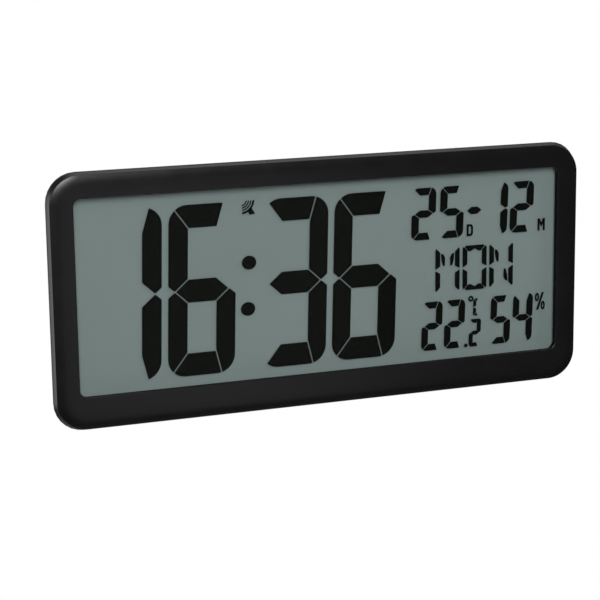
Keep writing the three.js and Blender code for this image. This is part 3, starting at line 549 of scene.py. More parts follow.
def case_ring(depth, inset, radius=None):
    """The case's outline, drawn in by an inset, at a depth behind the front plane. Its corner radius
    shrinks by the same inset, unless one is given."""
    radius = radius or max(CORNER_RADIUS - inset, LEAST_RADIUS)
    outline = rounded_outline(CASE_HALF_X - inset, CASE_HALF_Z - inset, radius)
    return np.column_stack([outline[:, 0], np.full(len(outline), front_y + depth), outline[:, 1]])


def window_ring(depth, grow):
    """The window's outline, with half sizes and radius grown alike, at a depth behind the front plane."""
    outline = rounded_outline(WINDOW_HALF_X + grow, WINDOW_HALF_Z + grow, WINDOW_RADIUS + grow)
    return np.column_stack([outline[:, 0], np.full(len(outline), front_y + depth), outline[:, 1] + WINDOW_Z])


def band_inset(depth):
    """The side band widens evenly with depth: its inset is the edge's, times the share of the way that is
    left to the widest line."""
    return EDGE_INSET * (WIDEST - depth) / (WIDEST - EDGE_DROP)


def bezel_rings():
    """Rings in order round the wall's section: seam, band, front edge, crown, face, lip, rebate, inside.

    The front edge and the lip are quarter circles. The crown's fall is the sum of a square of the reach
    towards the edge, and of a steeper power over the last stretch, where it rolls off.
    """
    edge_depth = EDGE_DROP + EDGE_FILLET
    rings = [case_ring(SEAM, CAVITY_INSET), case_ring(SEAM, band_inset(SEAM) + SEAM_BREAK, CORNER_RADIUS)]
    for depth in (SEAM - SEAM_BREAK, edge_depth):
        rings.append(case_ring(depth, band_inset(depth), CORNER_RADIUS))
    edge = band_inset(edge_depth)
    for angle in np.linspace(0, math.pi / 2, FILLET_STEPS + 1)[1:]:
        inward = EDGE_FILLET * (1 - math.cos(angle))
        depth = EDGE_DROP + EDGE_FILLET * (1 - math.sin(angle))
        rings.append(case_ring(depth, edge + inward, CORNER_RADIUS - inward))
    for reach in np.linspace(1, 0, CROWN_STEPS + 1)[1:]:
        rolled = max(0, 1 - (1 - reach) * CROWN_WIDTH / ROLL_WIDTH)
        fall = (EDGE_DROP - ROLL_DROP) * reach ** 2 + ROLL_DROP * rolled ** ROLL_POWER
        inward = EDGE_FILLET + CROWN_WIDTH * (1 - reach)
        rings.append(case_ring(fall, edge + inward, CORNER_RADIUS - inward))
    rings.append(window_ring(0, LIP + LIP_MARGIN))
    for angle in np.linspace(0, math.pi / 2, LIP_STEPS + 1):
        rings.append(window_ring(LIP * (1 - math.cos(angle)), LIP * (1 - math.sin(angle))))
    rings += [
        window_ring(RECESS, 0),
        window_ring(RECESS, POCKET),
        window_ring(LENS_BACK, POCKET),
        window_ring(LENS_BACK, REBATE),
        window_ring(WALL, REBATE),
        case_ring(WALL, CAVITY_INSET),
    ]
    return np.array(rings)


rings = bezel_rings()
finish_mesh(
    "front_bezel_skin", rings.reshape(-1, 3), grid_faces(*rings.shape[:2], close_rows=True),
    bezel_abs, "case", sharp=40.0, replaced=("front_bezel",),
)
print("bezel", rings.shape, "points; crown falls", round(EDGE_DROP / MM, 2), "mm")

# %% [markdown]
# ## Matt wall round the window
#
# Seen from one side, a glossy wall would mirror the pale film and show a grey line. In the photograph
# that wall is black. A second material on those faces would do. Here the bezel's own material turns matt
# inside the opening, so the part keeps one finish: a mask made from object coordinates is one where a
# point lies deeper than the lip and not outside the window, and it takes the mirror part away.

# %% Matt wall
bezel_tree = bezel_abs.node_tree
bezel_shader = next(node for node in bezel_tree.nodes if node.type == "BSDF_PRINCIPLED")
bezel_place = next(node for node in bezel_tree.nodes if node.type == "TEX_COORD").outputs["Object"]
MATT_FROM, MATT_BY = front_y + 0.6 * LIP, front_y + 1.1 * LIP
PLAIN_SHINE, MATT_SHINE = 0.5, 0.05
place = add(bezel_tree, "ShaderNodeSeparateXYZ", {0: bezel_place})
mask = add(bezel_tree, "ShaderNodeMapRange", {
    "Value": place.outputs["Y"], "From Min": MATT_FROM, "From Max": MATT_BY,
}).outputs[0]
for axis, middle, half in (("X", 0.0, WINDOW_HALF_X), ("Z", WINDOW_Z, WINDOW_HALF_Z)):
    offset = add(bezel_tree, "ShaderNodeMath", {0: place.outputs[axis], 1: middle}, operation="SUBTRACT")
    away = add(bezel_tree, "ShaderNodeMath", {0: offset.outputs[0]}, operation="ABSOLUTE")
    within = add(bezel_tree, "ShaderNodeMath", {0: away.outputs[0], 1: half + LIP}, operation="LESS_THAN")
    mask = add(bezel_tree, "ShaderNodeMath", {0: mask, 1: within.outputs[0]}, operation="MULTIPLY").outputs[0]
shine = add(bezel_tree, "ShaderNodeMix", {
    "Factor": mask, "A": PLAIN_SHINE, "B": MATT_SHINE,
}, data_type="FLOAT")
bezel_tree.links.new(shine.outputs["Result"], bezel_shader.inputs["Specular IOR Level"])
print("matt wall from", round((MATT_BY - front_y) / MM, 2), "mm to", round(RECESS / MM, 2), "mm deep")

# %% [markdown]
# ## Softened copies of the CAD parts
#
# The CAD solids are right in shape, but their edges are razor sharp and their curves faceted. A moulded
# edge always has a small radius that catches a line of light. So a part is copied, its triangles are
# merged back into whole faces, its curves are shaded smooth, and a Bevel of a quarter of a millimetre
# rounds whatever stays sharp. Weighted normals then let each large flat face shade as flat right up to
# its rounded edge. Remodelling these parts would give cleaner faces, but the copy can't drift from the
# CAD's sizes.

# %% Softened copies
CAD_MERGE = 2e-6
FLAT = math.radians(0.4)
FLAT_WEIGHT = 90
EDGE_ANGLE = math.radians(30)


def softened(node, name, material, body, edge):
    """A copy of a CAD node. Triangles that meet flatter than FLAT are joined, curves are smoothed up to
    EDGE_ANGLE, and edges sharper than it are bevelled by the width edge."""
    mesh = nodes[node].data.copy()
    mesh.name = name
    work = bmesh.new()
    work.from_mesh(mesh)
    bmesh.ops.remove_doubles(work, verts=work.verts, dist=CAD_MERGE)
    bmesh.ops.dissolve_limit(work, angle_limit=FLAT, verts=work.verts, edges=work.edges)
    work.to_mesh(mesh)
    work.free()
    mesh.polygons.foreach_set("use_smooth", np.ones(len(mesh.polygons), bool))
    mesh.set_sharp_from_angle(angle=EDGE_ANGLE)
    mesh.materials.clear()
    mesh.materials.append(material)
    obj = bpy.data.objects.new(name, mesh)
    bpy.context.scene.collection.objects.link(obj)
    bevel = obj.modifiers.new("edge", "BEVEL")
    bevel.width = edge
    bevel.segments = 2
    bevel.limit_method = "ANGLE"
    bevel.angle_limit = EDGE_ANGLE
    bevel.use_clamp_overlap = True
    bevel.harden_normals = True
    flatness = obj.modifiers.new("flatness", "WEIGHTED_NORMAL")
    flatness.keep_sharp = True
    flatness.weight = FLAT_WEIGHT
    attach(obj, body)
    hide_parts(node)
    return obj


soft_parts = [
    softened("rear_cover", "rear_cover_skin", cover_abs, "case", 0.25 * MM),
    softened("battery_cover", "battery_cover_skin", cover_abs, "battery_cover", 0.2 * MM),
    softened("leg_left", "leg_left_skin", cover_abs, "leg_left", 0.3 * MM),
    softened("leg_right", "leg_right_skin", cover_abs, "leg_right", 0.3 * MM),
]
for index in range(1, 6):
    soft_parts.append(softened(
        f"button_{index}", f"button_{index}_cap", button_abs, f"button_{index}", 0.3 * MM,
    ))
print("softened parts", len(soft_parts), "with", sum(len(o.data.polygons) for o in soft_parts), "faces")

# %% [markdown]
# ## What stays as the frame has it
#
# Flat panes, boards, springs and small inner parts already have their true shape. They keep their CAD
# mesh and only take a finish in their material slots. A table says which piece takes which.

# %% Materials on CAD nodes
node_finishes = {
    "window_lens": lens_acrylic,
    "window_gasket": gasket_foam,
    "lcd_reflector": reflector_film,
    "lcd_holder": holder_abs,
    "zebra_strip": zebra_rubber,
    "main_board": solder_mask,
    "driver_chip_1": component_black,
    "driver_chip_2": component_black,
    "crystal_can": steel_can,
    "filter_capacitor": component_black,
    "contact_link": nickel,
    "contact_positive": nickel,
    "contact_negative": nickel,
    "button_board": solder_mask,
    "ferrite_rod": sintered_ferrite,
    "antenna_coil": enamelled_wire,
    "receiver_board": solder_mask,
    "receiver_chip": component_black,
    "sensor_board": solder_mask,
    "climate_sensor": component_black,
}
node_finishes.update({f"tact_switch_{index}": component_black for index in range(1, 6)})
node_finishes.update({f"battery_spring_{index}": nickel for index in (1, 2)})
for node_name, material in node_finishes.items():
    mesh = nodes[node_name].data
    mesh.materials.clear()
    mesh.materials.append(material)
print("finishes set on", len(node_finishes), "nodes")

# %% [markdown]
# ## Segments as cuts of one outline
#
# A large digit is a rounded rectangle that straight lines cut into seven bars. Each bar is convex, so it
# is what is left of the outline after a few cuts: one along its inner side, and one at each mitre where
# it meets a neighbour. Half a gap is taken off at every mitre. The left mitres run at a slant, and the
# right ones stand nearly upright, so the right-hand bars keep the whole round corner. Each bar could be
# drawn corner by corner, or a font turned into a mesh. Cuts keep every gap equal, and the same ones serve
# five sizes of digit.

# %% Cutting a convex outline
def keep_left(polygon, start, end, gap=0.0):
    """The part of a convex polygon on the left of the line from start to end, less half a gap.

    Each corner's depth is its distance to the left of the line. Corners with a positive depth stay, and
    where the depth changes sign along a side, the point of no depth is added.
    """
    start, end = np.asarray(start, float), np.asarray(end, float)
    along = (end - start) / np.linalg.norm(end - start)
    depth = (polygon - start) @ np.array([-along[1], along[0]]) - gap / 2
    depth_after = np.roll(depth, -1)
    crosses = (depth > 0) != (depth_after > 0)
    share = np.divide(depth, depth - depth_after, out=np.zeros_like(depth), where=crosses)
    crossing = polygon + share[:, None] * (np.roll(polygon, -1, axis=0) - polygon)
    both = np.stack([polygon, crossing], 1).reshape(-1, 2)
    return both[np.stack([depth > 0, crosses], 1).reshape(-1)]


# Places of the cuts on the photographed digits, as shares of the widths of the standing and lying bars
LEFT_MITRE = np.array([-0.68, 0.77])
RIGHT_MITRE = np.array([0.31, 0.97])
JOINT_IN = 0.35
CHAMFER_UP = 0.26
TIP_SHARE = 0.7
MIRROR_X = np.array([-1, 1])
MIRROR_Z = np.array([1, -1])


def seven_bars(width, height, upright, level, gap, radius):
    """The seven bars of a digit round its centre: upright and level are the widths of the standing and
    the lying bars. They are named a to g, clockwise from the top, with g in the middle.

    Each bar is the outline less what lies beyond its inner side, its mitres and its slanted tip. The
    lower half is the upper one mirrored.
    """
    half_w, half_h = width / 2, height / 2
    outline = rounded_outline(half_w, half_h, radius, 10)
    inner_left = np.array([upright - half_w, half_h - level])
    inner_right = inner_left * MIRROR_X
    slanting = LEFT_MITRE * (upright, level)
    steep = RIGHT_MITRE * (upright, level)
    joint = np.array([JOINT_IN * upright - half_w, 0.0])
    counter = np.array([upright - half_w, level / 2])
    chamfer = np.array([-half_w, CHAMFER_UP * level])
    tip = np.array([0.0, TIP_SHARE * gap])

    upper_left = keep_left(outline, inner_left, inner_left + (0, 1))
    upper_left = keep_left(upper_left, inner_left, inner_left + slanting, gap)
    upper_left = keep_left(upper_left, joint, counter, gap)
    upper_left = keep_left(upper_left, chamfer, joint)
    upper_left = keep_left(upper_left, tip, tip + (1, 0))

    upper_right = keep_left(outline, inner_right, inner_right - (0, 1))
    upper_right = keep_left(upper_right, inner_right + steep, inner_right, gap)
    upper_right = keep_left(upper_right, counter * MIRROR_X, joint * MIRROR_X, gap)
    upper_right = keep_left(upper_right, joint * MIRROR_X, chamfer * MIRROR_X)
    upper_right = keep_left(upper_right, tip, tip + (1, 0))

    top = keep_left(outline, inner_left, inner_left + (1, 0))
    top = keep_left(top, inner_left + slanting, inner_left, gap)
    top = keep_left(top, inner_right, inner_right + steep, gap)

    middle = keep_left(outline, (0, level / 2), (-1, level / 2))
    middle = keep_left(middle, (0, -level / 2), (1, -level / 2))
    middle = keep_left(middle, counter, joint, gap)
    middle = keep_left(middle, joint, counter * MIRROR_Z, gap)
    middle = keep_left(middle, joint * MIRROR_X, counter * MIRROR_X, gap)
    middle = keep_left(middle, -counter, joint * MIRROR_X, gap)

    return {
        "a": top, "b": upper_right, "f": upper_left, "g": middle,
        "c": upper_right * MIRROR_Z, "d": top * MIRROR_Z, "e": upper_left * MIRROR_Z,
    }


time_bars = seven_bars(width=45.2, height=111.4, upright=12.9, level=14.9, gap=0.78, radius=12)
print("corners of each bar", {bar: len(points) for bar, points in time_bars.items()})

# %% [markdown]
# ## Which bars are dark
#
# A real display has all seven bars everywhere and darkens some of them. Only the dark ones are built,
# because the pale ones can't be seen. The digits lean a little to the right, so each point moves
# sideways by a share of its height.

# %% Signs from bars
BARS_OF = {
    "1": "bc", "2": "abged", "3": "abgcd", "4": "fgbc", "5": "afgcd", "6": "afgedc", "C": "afed",
}
SLANT = 0.031


def digit(letter, centre_x, centre_z, bars):
    """The dark bars of one sign, moved to its centre and leaned: x grows by the slant times z."""
    moved = [bars[bar] + (centre_x, centre_z) for bar in BARS_OF[letter]]
    return [np.column_stack([m[:, 0] + SLANT * m[:, 1], m[:, 1]]) for m in moved]


print("bars of each sign", BARS_OF)

# %% [markdown]
# ## Other signs
#
# The weekday is written with fourteen straight bars, of which the diagonals are small kites. Those are
# too few and too odd for cuts, so their corners are listed. Dots, rings and arcs come from circles. A
# ring is an outer and an inner outline with equally many points.

# %% Fourteen-bar letters, rings and arcs
def letter_bars(width, height, upright, level):
    """Bars of a fourteen-bar letter round its centre: the ones that M, O and N need.

    Corners are listed in millimetres, counted in from the letter's edges or from its middle. The other
    bars are these ones mirrored sideways, up and down, or both.
    """
    w, h = width / 2, height / 2
    standing = np.array([
        (-w, h - 1.7), (0.75 - w, h - 0.6), (upright - w, h - level + 0.45), (upright - w, 2.45),
        (0.35 - w, 0.6), (-w, 0.9),
    ])
    lying = np.array([
        (1.6 - w, h - 0.75), (2.5 - w, h), (w - 2.5, h), (w - 1.6, h - 0.75),
        (w - upright - 0.75, h - level), (2.8, h - level), (0, h - level + 1.6), (-2.8, h - level),
        (upright - w + 0.75, h - level),
    ])
    falling = np.array([(-4.85, 11.0), (-3.1, 10.7), (-1.8, 8.15), (-2.0, 2.5), (-3.45, 2.9), (-4.6, 6.8)])
    return {
        "a": lying, "f": standing, "b": standing * MIRROR_X, "h": falling, "k": falling * MIRROR_X,
        "d": lying * MIRROR_Z, "e": standing * MIRROR_Z, "c": -standing, "m": -falling,
    }


LETTERS = {"M": "febchk", "O": "abcdef", "N": "febchm"}


def ellipse(centre, half_x, half_z, count=40):
    """Points round an ellipse: the centre plus each half width times a cosine or a sine."""
    angle = np.linspace(0, 2 * math.pi, count, endpoint=False)
    return np.column_stack([centre[0] + half_x * np.cos(angle), centre[1] + half_z * np.sin(angle)])


def arc(centre, radius, width, start, stop, count=24):
    """A curved stroke: an outer arc, then an inner one back, between two angles in degrees."""
    angle = np.radians(np.linspace(start, stop, count))
    way = np.column_stack([np.cos(angle), np.sin(angle)])
    return np.concatenate([way * (radius + width / 2), (way * (radius - width / 2))[::-1]]) + centre


print("letters and their bars", LETTERS)

# %% [markdown]
# ## Standing the signs in the glass
#
# A real segment is a patch of liquid crystal a few thousandths of a millimetre thick. Each group of
# signs is built as thin plates on the plane where the two sheets of glass meet. A texture could carry
# them, but plates have crisp edges at any distance. A plate's outline is repeated on a front and a back
# plane, less than a tenth of a millimetre apart, and it still drops a shadow on the film behind it.

# %% Display plates
cell_low, cell_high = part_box("lcd_front_glass")
INK_HALF = 0.03 * MM
INK_FRONT, INK_BACK = cell_high.y - INK_HALF, cell_high.y + INK_HALF


def on_plane(outline, y):
    """An outline in millimetres round the window's centre, as points in space at the depth y."""
    return np.column_stack([outline[:, 0] * MM, np.full(len(outline), y), outline[:, 1] * MM + WINDOW_Z])


def display_piece(name, outlines, ringed=()):
    """One mesh of plates: outlines are filled, and ringed holds pairs of an outer and an inner outline.

    A filled plate is a front face, a back face and a strip round them. A ring is four strips, from the
    outer outline in front round to the inner one in front.
    """
    points, faces, count = [], [], 0
    for outline in outlines:
        n = len(outline)
        points += [on_plane(outline, INK_FRONT), on_plane(outline, INK_BACK)]
        faces.append([*range(count, count + n)])
        faces.append([*range(count + 2 * n - 1, count + n - 1, -1)])
        faces += (grid_faces(2, n) + count).tolist()
        count += 2 * n
    for outer, inner in ringed:
        n = len(outer)
        points += [on_plane(outer, INK_FRONT), on_plane(outer, INK_BACK)]
        points += [on_plane(inner, INK_BACK), on_plane(inner, INK_FRONT)]
        faces += (grid_faces(4, n, close_rows=True) + count).tolist()
        count += 4 * n
    return finish_mesh(name, np.concatenate(points), faces, segment_dye, "case", sharp=30.0)


print("plates", round(2 * INK_HALF / MM, 2), "mm thick at", round(INK_FRONT / MM, 2), "mm from the wall")

# %% [markdown]
# ## The time
#
# Four digits 111 mm tall fill the left of the display, with two round dots between hours and minutes.
# Their places were measured in the photograph, in millimetres from the window's centre.

# %% Time
TIME_X, TIME_Z = (-133.6, -84.0, -20.7, 28.8), -1.8
COLON = (-52.0, 13.5), (-53.3, -16.9)
time_outlines = []
for letter, centre_x in zip("1636", TIME_X):
    time_outlines += digit(letter, centre_x, TIME_Z, time_bars)
time_outlines += [ellipse(dot, 4.9, 4.5) for dot in COLON]
time_digits = display_piece("time_digits", time_outlines)
print("time", len(time_outlines), "plates,", len(time_digits.data.polygons), "faces")

# %% [markdown]
# ## The date
#
# Day and month stand at the upper right, with a dash between them and a small D and M below. Bars
# couldn't make letters that small, so they are outlines of their own. The D is a rounded rectangle whose
# left side is pushed out flat, with a smaller one for its hole.

# %% Date
date_bars = seven_bars(width=17.5, height=34.9, upright=5.35, level=4.85, gap=0.5, radius=4.5)
DATE_X, DATE_Z = (70.1, 90.65, 123.45, 142.85), 36.55
date_outlines = []
for letter, centre_x in zip("2512", DATE_X):
    date_outlines += digit(letter, centre_x, DATE_Z, date_bars)
dash = np.array([(103.0, 36.5), (105.9, 34.1), (110.6, 34.1), (113.6, 36.5), (110.8, 38.9), (106.1, 38.9)])
D_CENTRE = np.array([105.15, 23.25])
letter_d = []
for half_x, half_z, radius in ((2.35, 4.05, 2.2), (0.85, 2.6, 0.8)):
    outline = rounded_outline(half_x, half_z, radius, 8)
    outline[:, 0] = np.where(outline[:, 0] < 0, -half_x, outline[:, 0])
    letter_d.append(outline + D_CENTRE)
letter_m = np.array([
    (156.2, 27.5), (157.9, 27.5), (158.95, 24.6), (160.0, 27.5), (161.7, 27.5), (161.7, 19.2),
    (160.15, 19.2), (160.15, 24.3), (158.95, 21.3), (157.75, 24.3), (157.75, 19.2), (156.2, 19.2),
])
date_digits = display_piece("date_digits", [*date_outlines, dash, letter_m], [letter_d])
print("date", len(date_digits.data.polygons), "faces")

# %% [markdown]
# ## The weekday
#
# Three letters made of fourteen bars name the day. They stand upright, with no lean. A font could write
# them, but its strokes would lack the gaps between the bars.

# %% Weekday
weekday_bars = letter_bars(width=17.9, height=30.5, upright=3.5, level=3.85)
WEEKDAY_X, WEEKDAY_Z = (88.75, 108.85, 128.8), -2.45
weekday_outlines = []
for letter, centre_x in zip("MON", WEEKDAY_X):
    weekday_outlines += [weekday_bars[bar] + (centre_x, WEEKDAY_Z) for bar in LETTERS[letter]]
weekday_letters = display_piece("weekday_letters", weekday_outlines)
print("weekday", len(weekday_letters.data.polygons), "faces")

# %% [markdown]
# ## Temperature and humidity
#
# The lowest row has the temperature, with a smaller tenth and its unit, and the humidity in per cent.
# The three sizes of digit come from the same cuts with other widths. The smallest rings and dots are
# drawn a little bolder than they are, so that they still show at the picture's size.

# %% Climate
climate_bars = seven_bars(width=15.1, height=33.4, upright=4.8, level=4.45, gap=0.5, radius=4.0)
small_bars = seven_bars(width=8.8, height=19.1, upright=3.0, level=2.7, gap=0.12, radius=2.2)
unit_bars = seven_bars(width=5.2, height=11.8, upright=2.25, level=1.8, gap=0.3, radius=1.3)
CLIMATE_X, CLIMATE_Z = (78.6, 95.35, 129.85, 146.7), -40.35
climate_outlines = []
for letter, centre_x in zip("2254", CLIMATE_X):
    climate_outlines += digit(letter, centre_x, CLIMATE_Z, climate_bars)
climate_outlines += digit("2", 110.8, -47.75, small_bars)
climate_outlines += digit("C", 111.5, -30.0, unit_bars)
decimal_point = ellipse((102.7, -56.1), 1.35, 1.35, 24)
slash = np.array([(155.9, -36.0), (157.6, -36.0), (161.8, -24.0), (160.1, -24.0)])
# Rows are a ring's centre, its outer half width and height, and its hole's: the degree, then per cent
RINGS = (
    ((106.2, -24.0), (2.0, 2.0), (0.75, 0.75)),
    ((156.5, -27.2), (1.65, 3.05), (0.4, 1.6)),
    ((161.0, -33.2), (1.6, 3.05), (0.4, 1.6)),
)
climate_rings = [(ellipse(at, *outer, 32), ellipse(at, *hole, 32)) for at, outer, hole in RINGS]
climate_digits = display_piece("climate_digits", [*climate_outlines, decimal_point, slash], climate_rings)
print("climate", len(climate_digits.data.polygons), "faces")

# %% [markdown]
# ## The reception sign
#
# A small sign with a foot and waves shows that the clock hears its time signal. Each wave is an arc
# between two angles, and the last one has a broader stroke. A curve with a bevel would be round like a
# wire. These strokes are flat and have an exact width.

# %% Reception sign
SIGN_CENTRE = (-56.6, 54.2)
reception = [arc(SIGN_CENTRE, radius, 0.8, -84, -4) for radius in (3.4, 4.9, 6.4)]
reception.append(arc(SIGN_CENTRE, 8.2, 1.3, -86, -2))
reception.append(np.array([(-52.2, 47.4), (-51.3, 44.7), (-47.3, 45.1), (-49.8, 49.2)]))
reception_sign = display_piece("reception_sign", reception)
print("reception sign", len(reception_sign.data.polygons), "faces")

# %% [markdown]
# ## The display cell
#
# The two sheets of glass are one bonded block to the eye, with the film on its back. One closed box does
# for both sheets: its front and sides are clear, and its back face carries the film. Light then crosses
# few surfaces on its way to the film and back, which keeps the shadows of the segments.

# %% Display cell
FILM_BEHIND_INK = 0.85 * MM
x0, x1 = cell_low.x, cell_high.x
z0, z1 = cell_low.z, cell_high.z
y0, y1 = cell_low.y, cell_high.y + FILM_BEHIND_INK
corners = np.array([
    (x, y, z) for y in (y0, y1) for x, z in ((x0, z0), (x1, z0), (x1, z1), (x0, z1))
])
display_cell = finish_mesh(
    "display_cell", corners,
    [(0, 1, 2, 3), (7, 6, 5, 4), (0, 4, 5, 1), (1, 5, 6, 2), (2, 6, 7, 3), (3, 7, 4, 0)],
    display_glass, "case", replaced=("lcd_front_glass", "lcd_rear_glass"),
)
display_cell.data.materials.append(reflector_film)
for polygon in display_cell.data.polygons:
    if polygon.normal.y > 0.5:
        polygon.material_index = 1
print("display cell", round((x1 - x0) / MM, 1), "by", round((z1 - z0) / MM, 1), "mm")

# %% [markdown]
# ## Cells
#
# An AA cell is a drawn steel can in a plastic sleeve. Each is turned: a profile of radius against
# length, swept round the long axis. A Screw modifier does the same, but leaves a seam to merge. The
# sleeve stops short of both ends, where the steel shows, and a small cap stands out at the positive end.

# %% Turned parts
CELL_COLUMNS = 64


def turned(name, centre, axis, profile, material, replaced):
    """A turned solid on a level axis: profile rows are distance along it and radius, from pole to pole.

    A point is the centre, plus the distance along the axis, plus the radius times a direction that
    turns round the axis: cosine times up plus sine times the side direction square to both.
    """
    profile = np.asarray(profile, float) * MM
    angle = np.linspace(0, 2 * math.pi, CELL_COLUMNS, endpoint=False)
    first = Vector((0, 0, 1))
    second = Vector(axis).cross(first)
    round_way = np.cos(angle)[:, None] * np.array(first) + np.sin(angle)[:, None] * np.array(second)
    points = (
        np.array(centre)
        + profile[:, 0][:, None, None] * np.array(axis)
        + profile[:, 1][:, None, None] * round_way[None]
    )
    faces = grid_faces(len(profile), CELL_COLUMNS)
    return finish_mesh(name, points.reshape(-1, 3), faces, material, "case", 30.0, replaced)


RIM = 0.5
CAP_HEIGHT = 1.3
STEEL_AT_CAP, STEEL_AT_FOOT = 2.0, 0.6


def cell_profile(length, radius):
    """An AA cell from its flat end to its cap: rounded rims, a shallow step, then the cap.

    A rim's corner is a quarter circle: in by RIM less its cosine, out by its sine.
    """
    half = length / 2
    quarter = [(RIM * (1 - math.cos(t)), radius - RIM + RIM * math.sin(t)) for t in (0, 0.5, 1.0, 1.57)]
    foot = [(inward - half, out) for inward, out in quarter]
    top = [(half - CAP_HEIGHT - inward, out) for inward, out in reversed(quarter)]
    cap = [(half - back, out) for back, out in (
        (CAP_HEIGHT, radius - 1.6), (1.6, radius - 1.8), (1.6, 3.2), (1.4, 2.8), (0.3, 2.6), (0, 2.2), (0, 0),
    )]
    return [(-half, 0), (-half, radius - 1.2), *foot, *top, *cap]


for index, direction in ((1, 1), (2, -1)):
    low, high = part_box(f"battery_{index}")
    centre = (low + high) / 2
    length = (high.x - low.x) / MM
    radius = (high.z - low.z) / 2 / MM
    cell = turned(
        f"cell_{index}", centre, (direction, 0, 0), cell_profile(length, radius), cell_sleeve,
        replaced=(f"battery_{index}",),
    )
    cell.data.materials.append(nickel)
    for polygon in cell.data.polygons:
        reach = (polygon.center - centre).x * direction / MM
        if reach > length / 2 - STEEL_AT_CAP or reach < STEEL_AT_FOOT - length / 2:
            polygon.material_index = 1
    print("cell", index, round(length, 1), "long, radius", round(radius, 2))

# %% [markdown]
# ## Case screws
#
# Six self-tapping screws hold the cover, each at the bottom of its well. The head is a low dome with a
# cross recess. The cross could be cut out with a Boolean modifier, which tends to leave slivers. Instead
# the head's height is worked out over a round grid: a dome that falls with the square of the radius,
# less a cross whose arms have sloping sides.

# %% Screws
HEAD_RADIUS, HEAD_HEIGHT = 2.9, 2.0
HEAD_RINGS, HEAD_COLUMNS = 22, 96
DOME_FALL = 0.35
RIM_END, RIM_WIDTH, RIM_LEAST = 1.02, 0.06, 0.25
ARM_HALF, ARM_SLOPE = 0.42, 0.2
ARM_REACH, END_SLOPE = 0.62 * HEAD_RADIUS, 0.35
CROSS_DEPTH = 0.7 * HEAD_HEIGHT


def screw(name, centre):
    """A pan head facing +Y, flat below: the dome's height less the cross, over rings of growing radius.

    The dome falls by DOME_FALL times the square of the reach, then drops at the rim. The cross is as deep
    as the smaller of x and z is inside an arm's width, and the larger of them is inside its reach.
    """
    reach = np.linspace(0, 1, HEAD_RINGS)[:, None]
    angle = np.linspace(0, 2 * math.pi, HEAD_COLUMNS, endpoint=False)[None]
    x, z = reach * HEAD_RADIUS * np.cos(angle), reach * HEAD_RADIUS * np.sin(angle)
    dome = HEAD_HEIGHT * (1 - DOME_FALL * reach ** 2)
    dome = dome * np.clip((RIM_END - reach) / RIM_WIDTH, RIM_LEAST, 1)
    inside_arm = np.clip((ARM_HALF - np.minimum(abs(x), abs(z))) / ARM_SLOPE, 0, 1)
    inside_reach = np.clip((ARM_REACH - np.maximum(abs(x), abs(z))) / END_SLOPE, 0, 1)
    top = np.stack([x, dome - inside_arm * inside_reach * CROSS_DEPTH, z], -1)
    foot = np.stack([x[-1:], np.zeros_like(x[-1:]), z[-1:]], -1)
    pole = np.zeros((1, HEAD_COLUMNS, 3))
    grid = np.concatenate([top, foot, pole]) * MM + np.array(centre)
    faces = grid_faces(*grid.shape[:2])
    return finish_mesh(name, grid.reshape(-1, 3), faces, zinc_screw, "case", sharp=50.0)


WELL_FLOOR = -18 * MM
SCREW_ROWS, SCREW_COLUMNS = (72.9, -72.8), (-150, 0, 150)
screw_places = [(x, z) for z in SCREW_ROWS for x in SCREW_COLUMNS]
for index, (x, z) in enumerate(screw_places, 1):
    screw(f"case_screw_{index}", (x * MM, WELL_FLOOR, z * MM))
print("screws", len(screw_places))

# %% [markdown]
# ## Studio
#
# The clock hangs in front of plain white. For its reflections the world is another one: white only behind
# the clock and near the horizon, half as bright above, and almost black below and on the camera's side.
# So the dark front stays dark, and only the side bands mirror the white behind. Two dark cards behind the
# upper corners hold back what the top and right bands mirror. A photographed room could do this too, but
# it would be one more file. The kind of ray tells the two worlds apart: rays from the camera, or through
# glass, see plain white.

# %% World
world = bpy.data.worlds.new("studio")
bpy.context.scene.world = world
world.use_nodes = True
tree = world.node_tree
tree.nodes.clear()
world_out = tree.nodes.new("ShaderNodeOutputWorld")
direction = add(tree, "ShaderNodeTexCoord").outputs["Generated"]
# Rows: a way in the room, and how its level goes from first to last as the direction turns towards it,
# which its dot product with the way measures. The last two rows are the cards.
ROOM = (
    ((0.0, 1.0, 0.0), 0.0, 0.4, 0.05, 1.0),
    ((0.0, 0.0, 1.0), 0.1, 0.5, 1.0, 0.5),
    ((0.0, 0.0, 1.0), -0.45, -0.23, 0.12, 1.0),
    ((-0.46, 0.68, 0.57), 0.86, 0.97, 1.0, 0.25),
    ((0.62, 0.76, 0.2), 0.93, 0.98, 1.0, 0.15),
)
room = 1.0
for way, low, high, first, last in ROOM:
    towards = add(tree, "ShaderNodeVectorMath", {0: direction, 1: way}, operation="DOT_PRODUCT")
    fade = add(tree, "ShaderNodeMapRange", {
        "Value": towards.outputs["Value"], "From Min": low, "From Max": high, "To Min": first, "To Max": last,
    }, interpolation_type="SMOOTHSTEP")
    room = add(tree, "ShaderNodeMath", {0: room, 1: fade.outputs[0]}, operation="MULTIPLY").outputs[0]
path = add(tree, "ShaderNodeLightPath")
seen = add(tree, "ShaderNodeMath", {
    0: path.outputs["Is Camera Ray"], 1: path.outputs["Is Transmission Ray"],
}, operation="MAXIMUM")
level = add(tree, "ShaderNodeMix", {
    "Factor": seen.outputs[0], "A": room, "B": 1.0,
}, data_type="FLOAT")
background = add(tree, "ShaderNodeBackground", {"Color": linear("#ffffff"), "Strength": level.outputs[0]})
tree.links.new(background.outputs[0], world_out.inputs["Surface"])
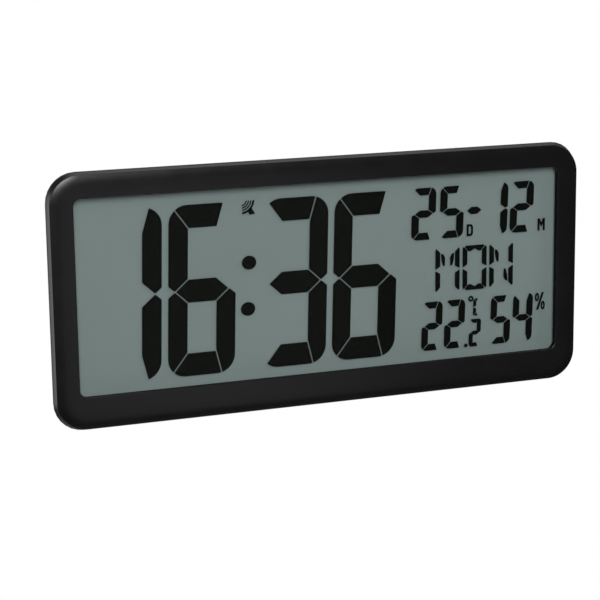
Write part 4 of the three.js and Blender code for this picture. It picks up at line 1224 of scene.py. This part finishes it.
print("the room's level is a product of", len(ROOM), "fades")

# %% [markdown]
# ## Floor
#
# The photograph shows no floor. A pale laminate far below, outside the picture, sends a little light up
# under the clock, as a room's floor does. A curved backdrop would do the same, but nothing of it would be
# seen. The floor belongs to the stage and not to the part.

# %% Floor
FLOOR_Z, FLOOR_HALF = -650 * MM, 600 * MM
floor_laminate = speckled_film("pale_floor_laminate", "#f3f3f1", speckle=2.0 * MM, roughness=0.6)
floor_mesh = bpy.data.meshes.new("floor")
floor_mesh.from_pydata([
    (x * FLOOR_HALF, y * FLOOR_HALF, FLOOR_Z) for x, y in ((-1, -1), (1, -1), (1, 1), (-1, 1))
], [], [(0, 1, 2, 3)])
floor_mesh.materials.append(floor_laminate)
floor = bpy.data.objects.new("floor", floor_mesh)
bpy.context.scene.collection.objects.link(floor)
print("floor", round((cad_box[0][2] - FLOOR_Z) / MM), "mm below the clock")

# %% [markdown]
# ## Lamps
#
# A product photographer uses soft boxes. The key lamp is one, in front at the upper left, and gives the
# front its level. A weaker one at the upper right lights the crown and the bands on that side. A faint
# one low in front keeps the lower border from going black. Each is a square area lamp, since sun and
# point lamps have hard shadows. Its edge length sets how soft they are.

# %% Lamps
def panel(name, towards, distance, size, power):
    """A square lamp that looks at the middle of the clock: it stands at the distance along the given way,
    and its own -Z axis points back along it."""
    data = bpy.data.lights.new(name, "AREA")
    data.shape = "SQUARE"
    data.size = size
    data.energy = power
    lamp = bpy.data.objects.new(name, data)
    way = Vector(towards).normalized()
    middle = Vector((0, front_y, 0))
    lamp.location = middle + way * distance
    lamp.rotation_euler = (-way).to_track_quat("-Z", "Y").to_euler()
    bpy.context.scene.collection.objects.link(lamp)


panel("key_lamp", towards=(-0.22, -0.88, 0.42), distance=1.7, size=0.9, power=26.5)
panel("side_lamp", towards=(0.9, -0.45, 0.75), distance=1.7, size=0.6, power=6)
panel("low_lamp", towards=(0.25, -0.95, -0.25), distance=1.9, size=0.6, power=0.44)
bpy.context.scene.view_settings.view_transform = "Standard"
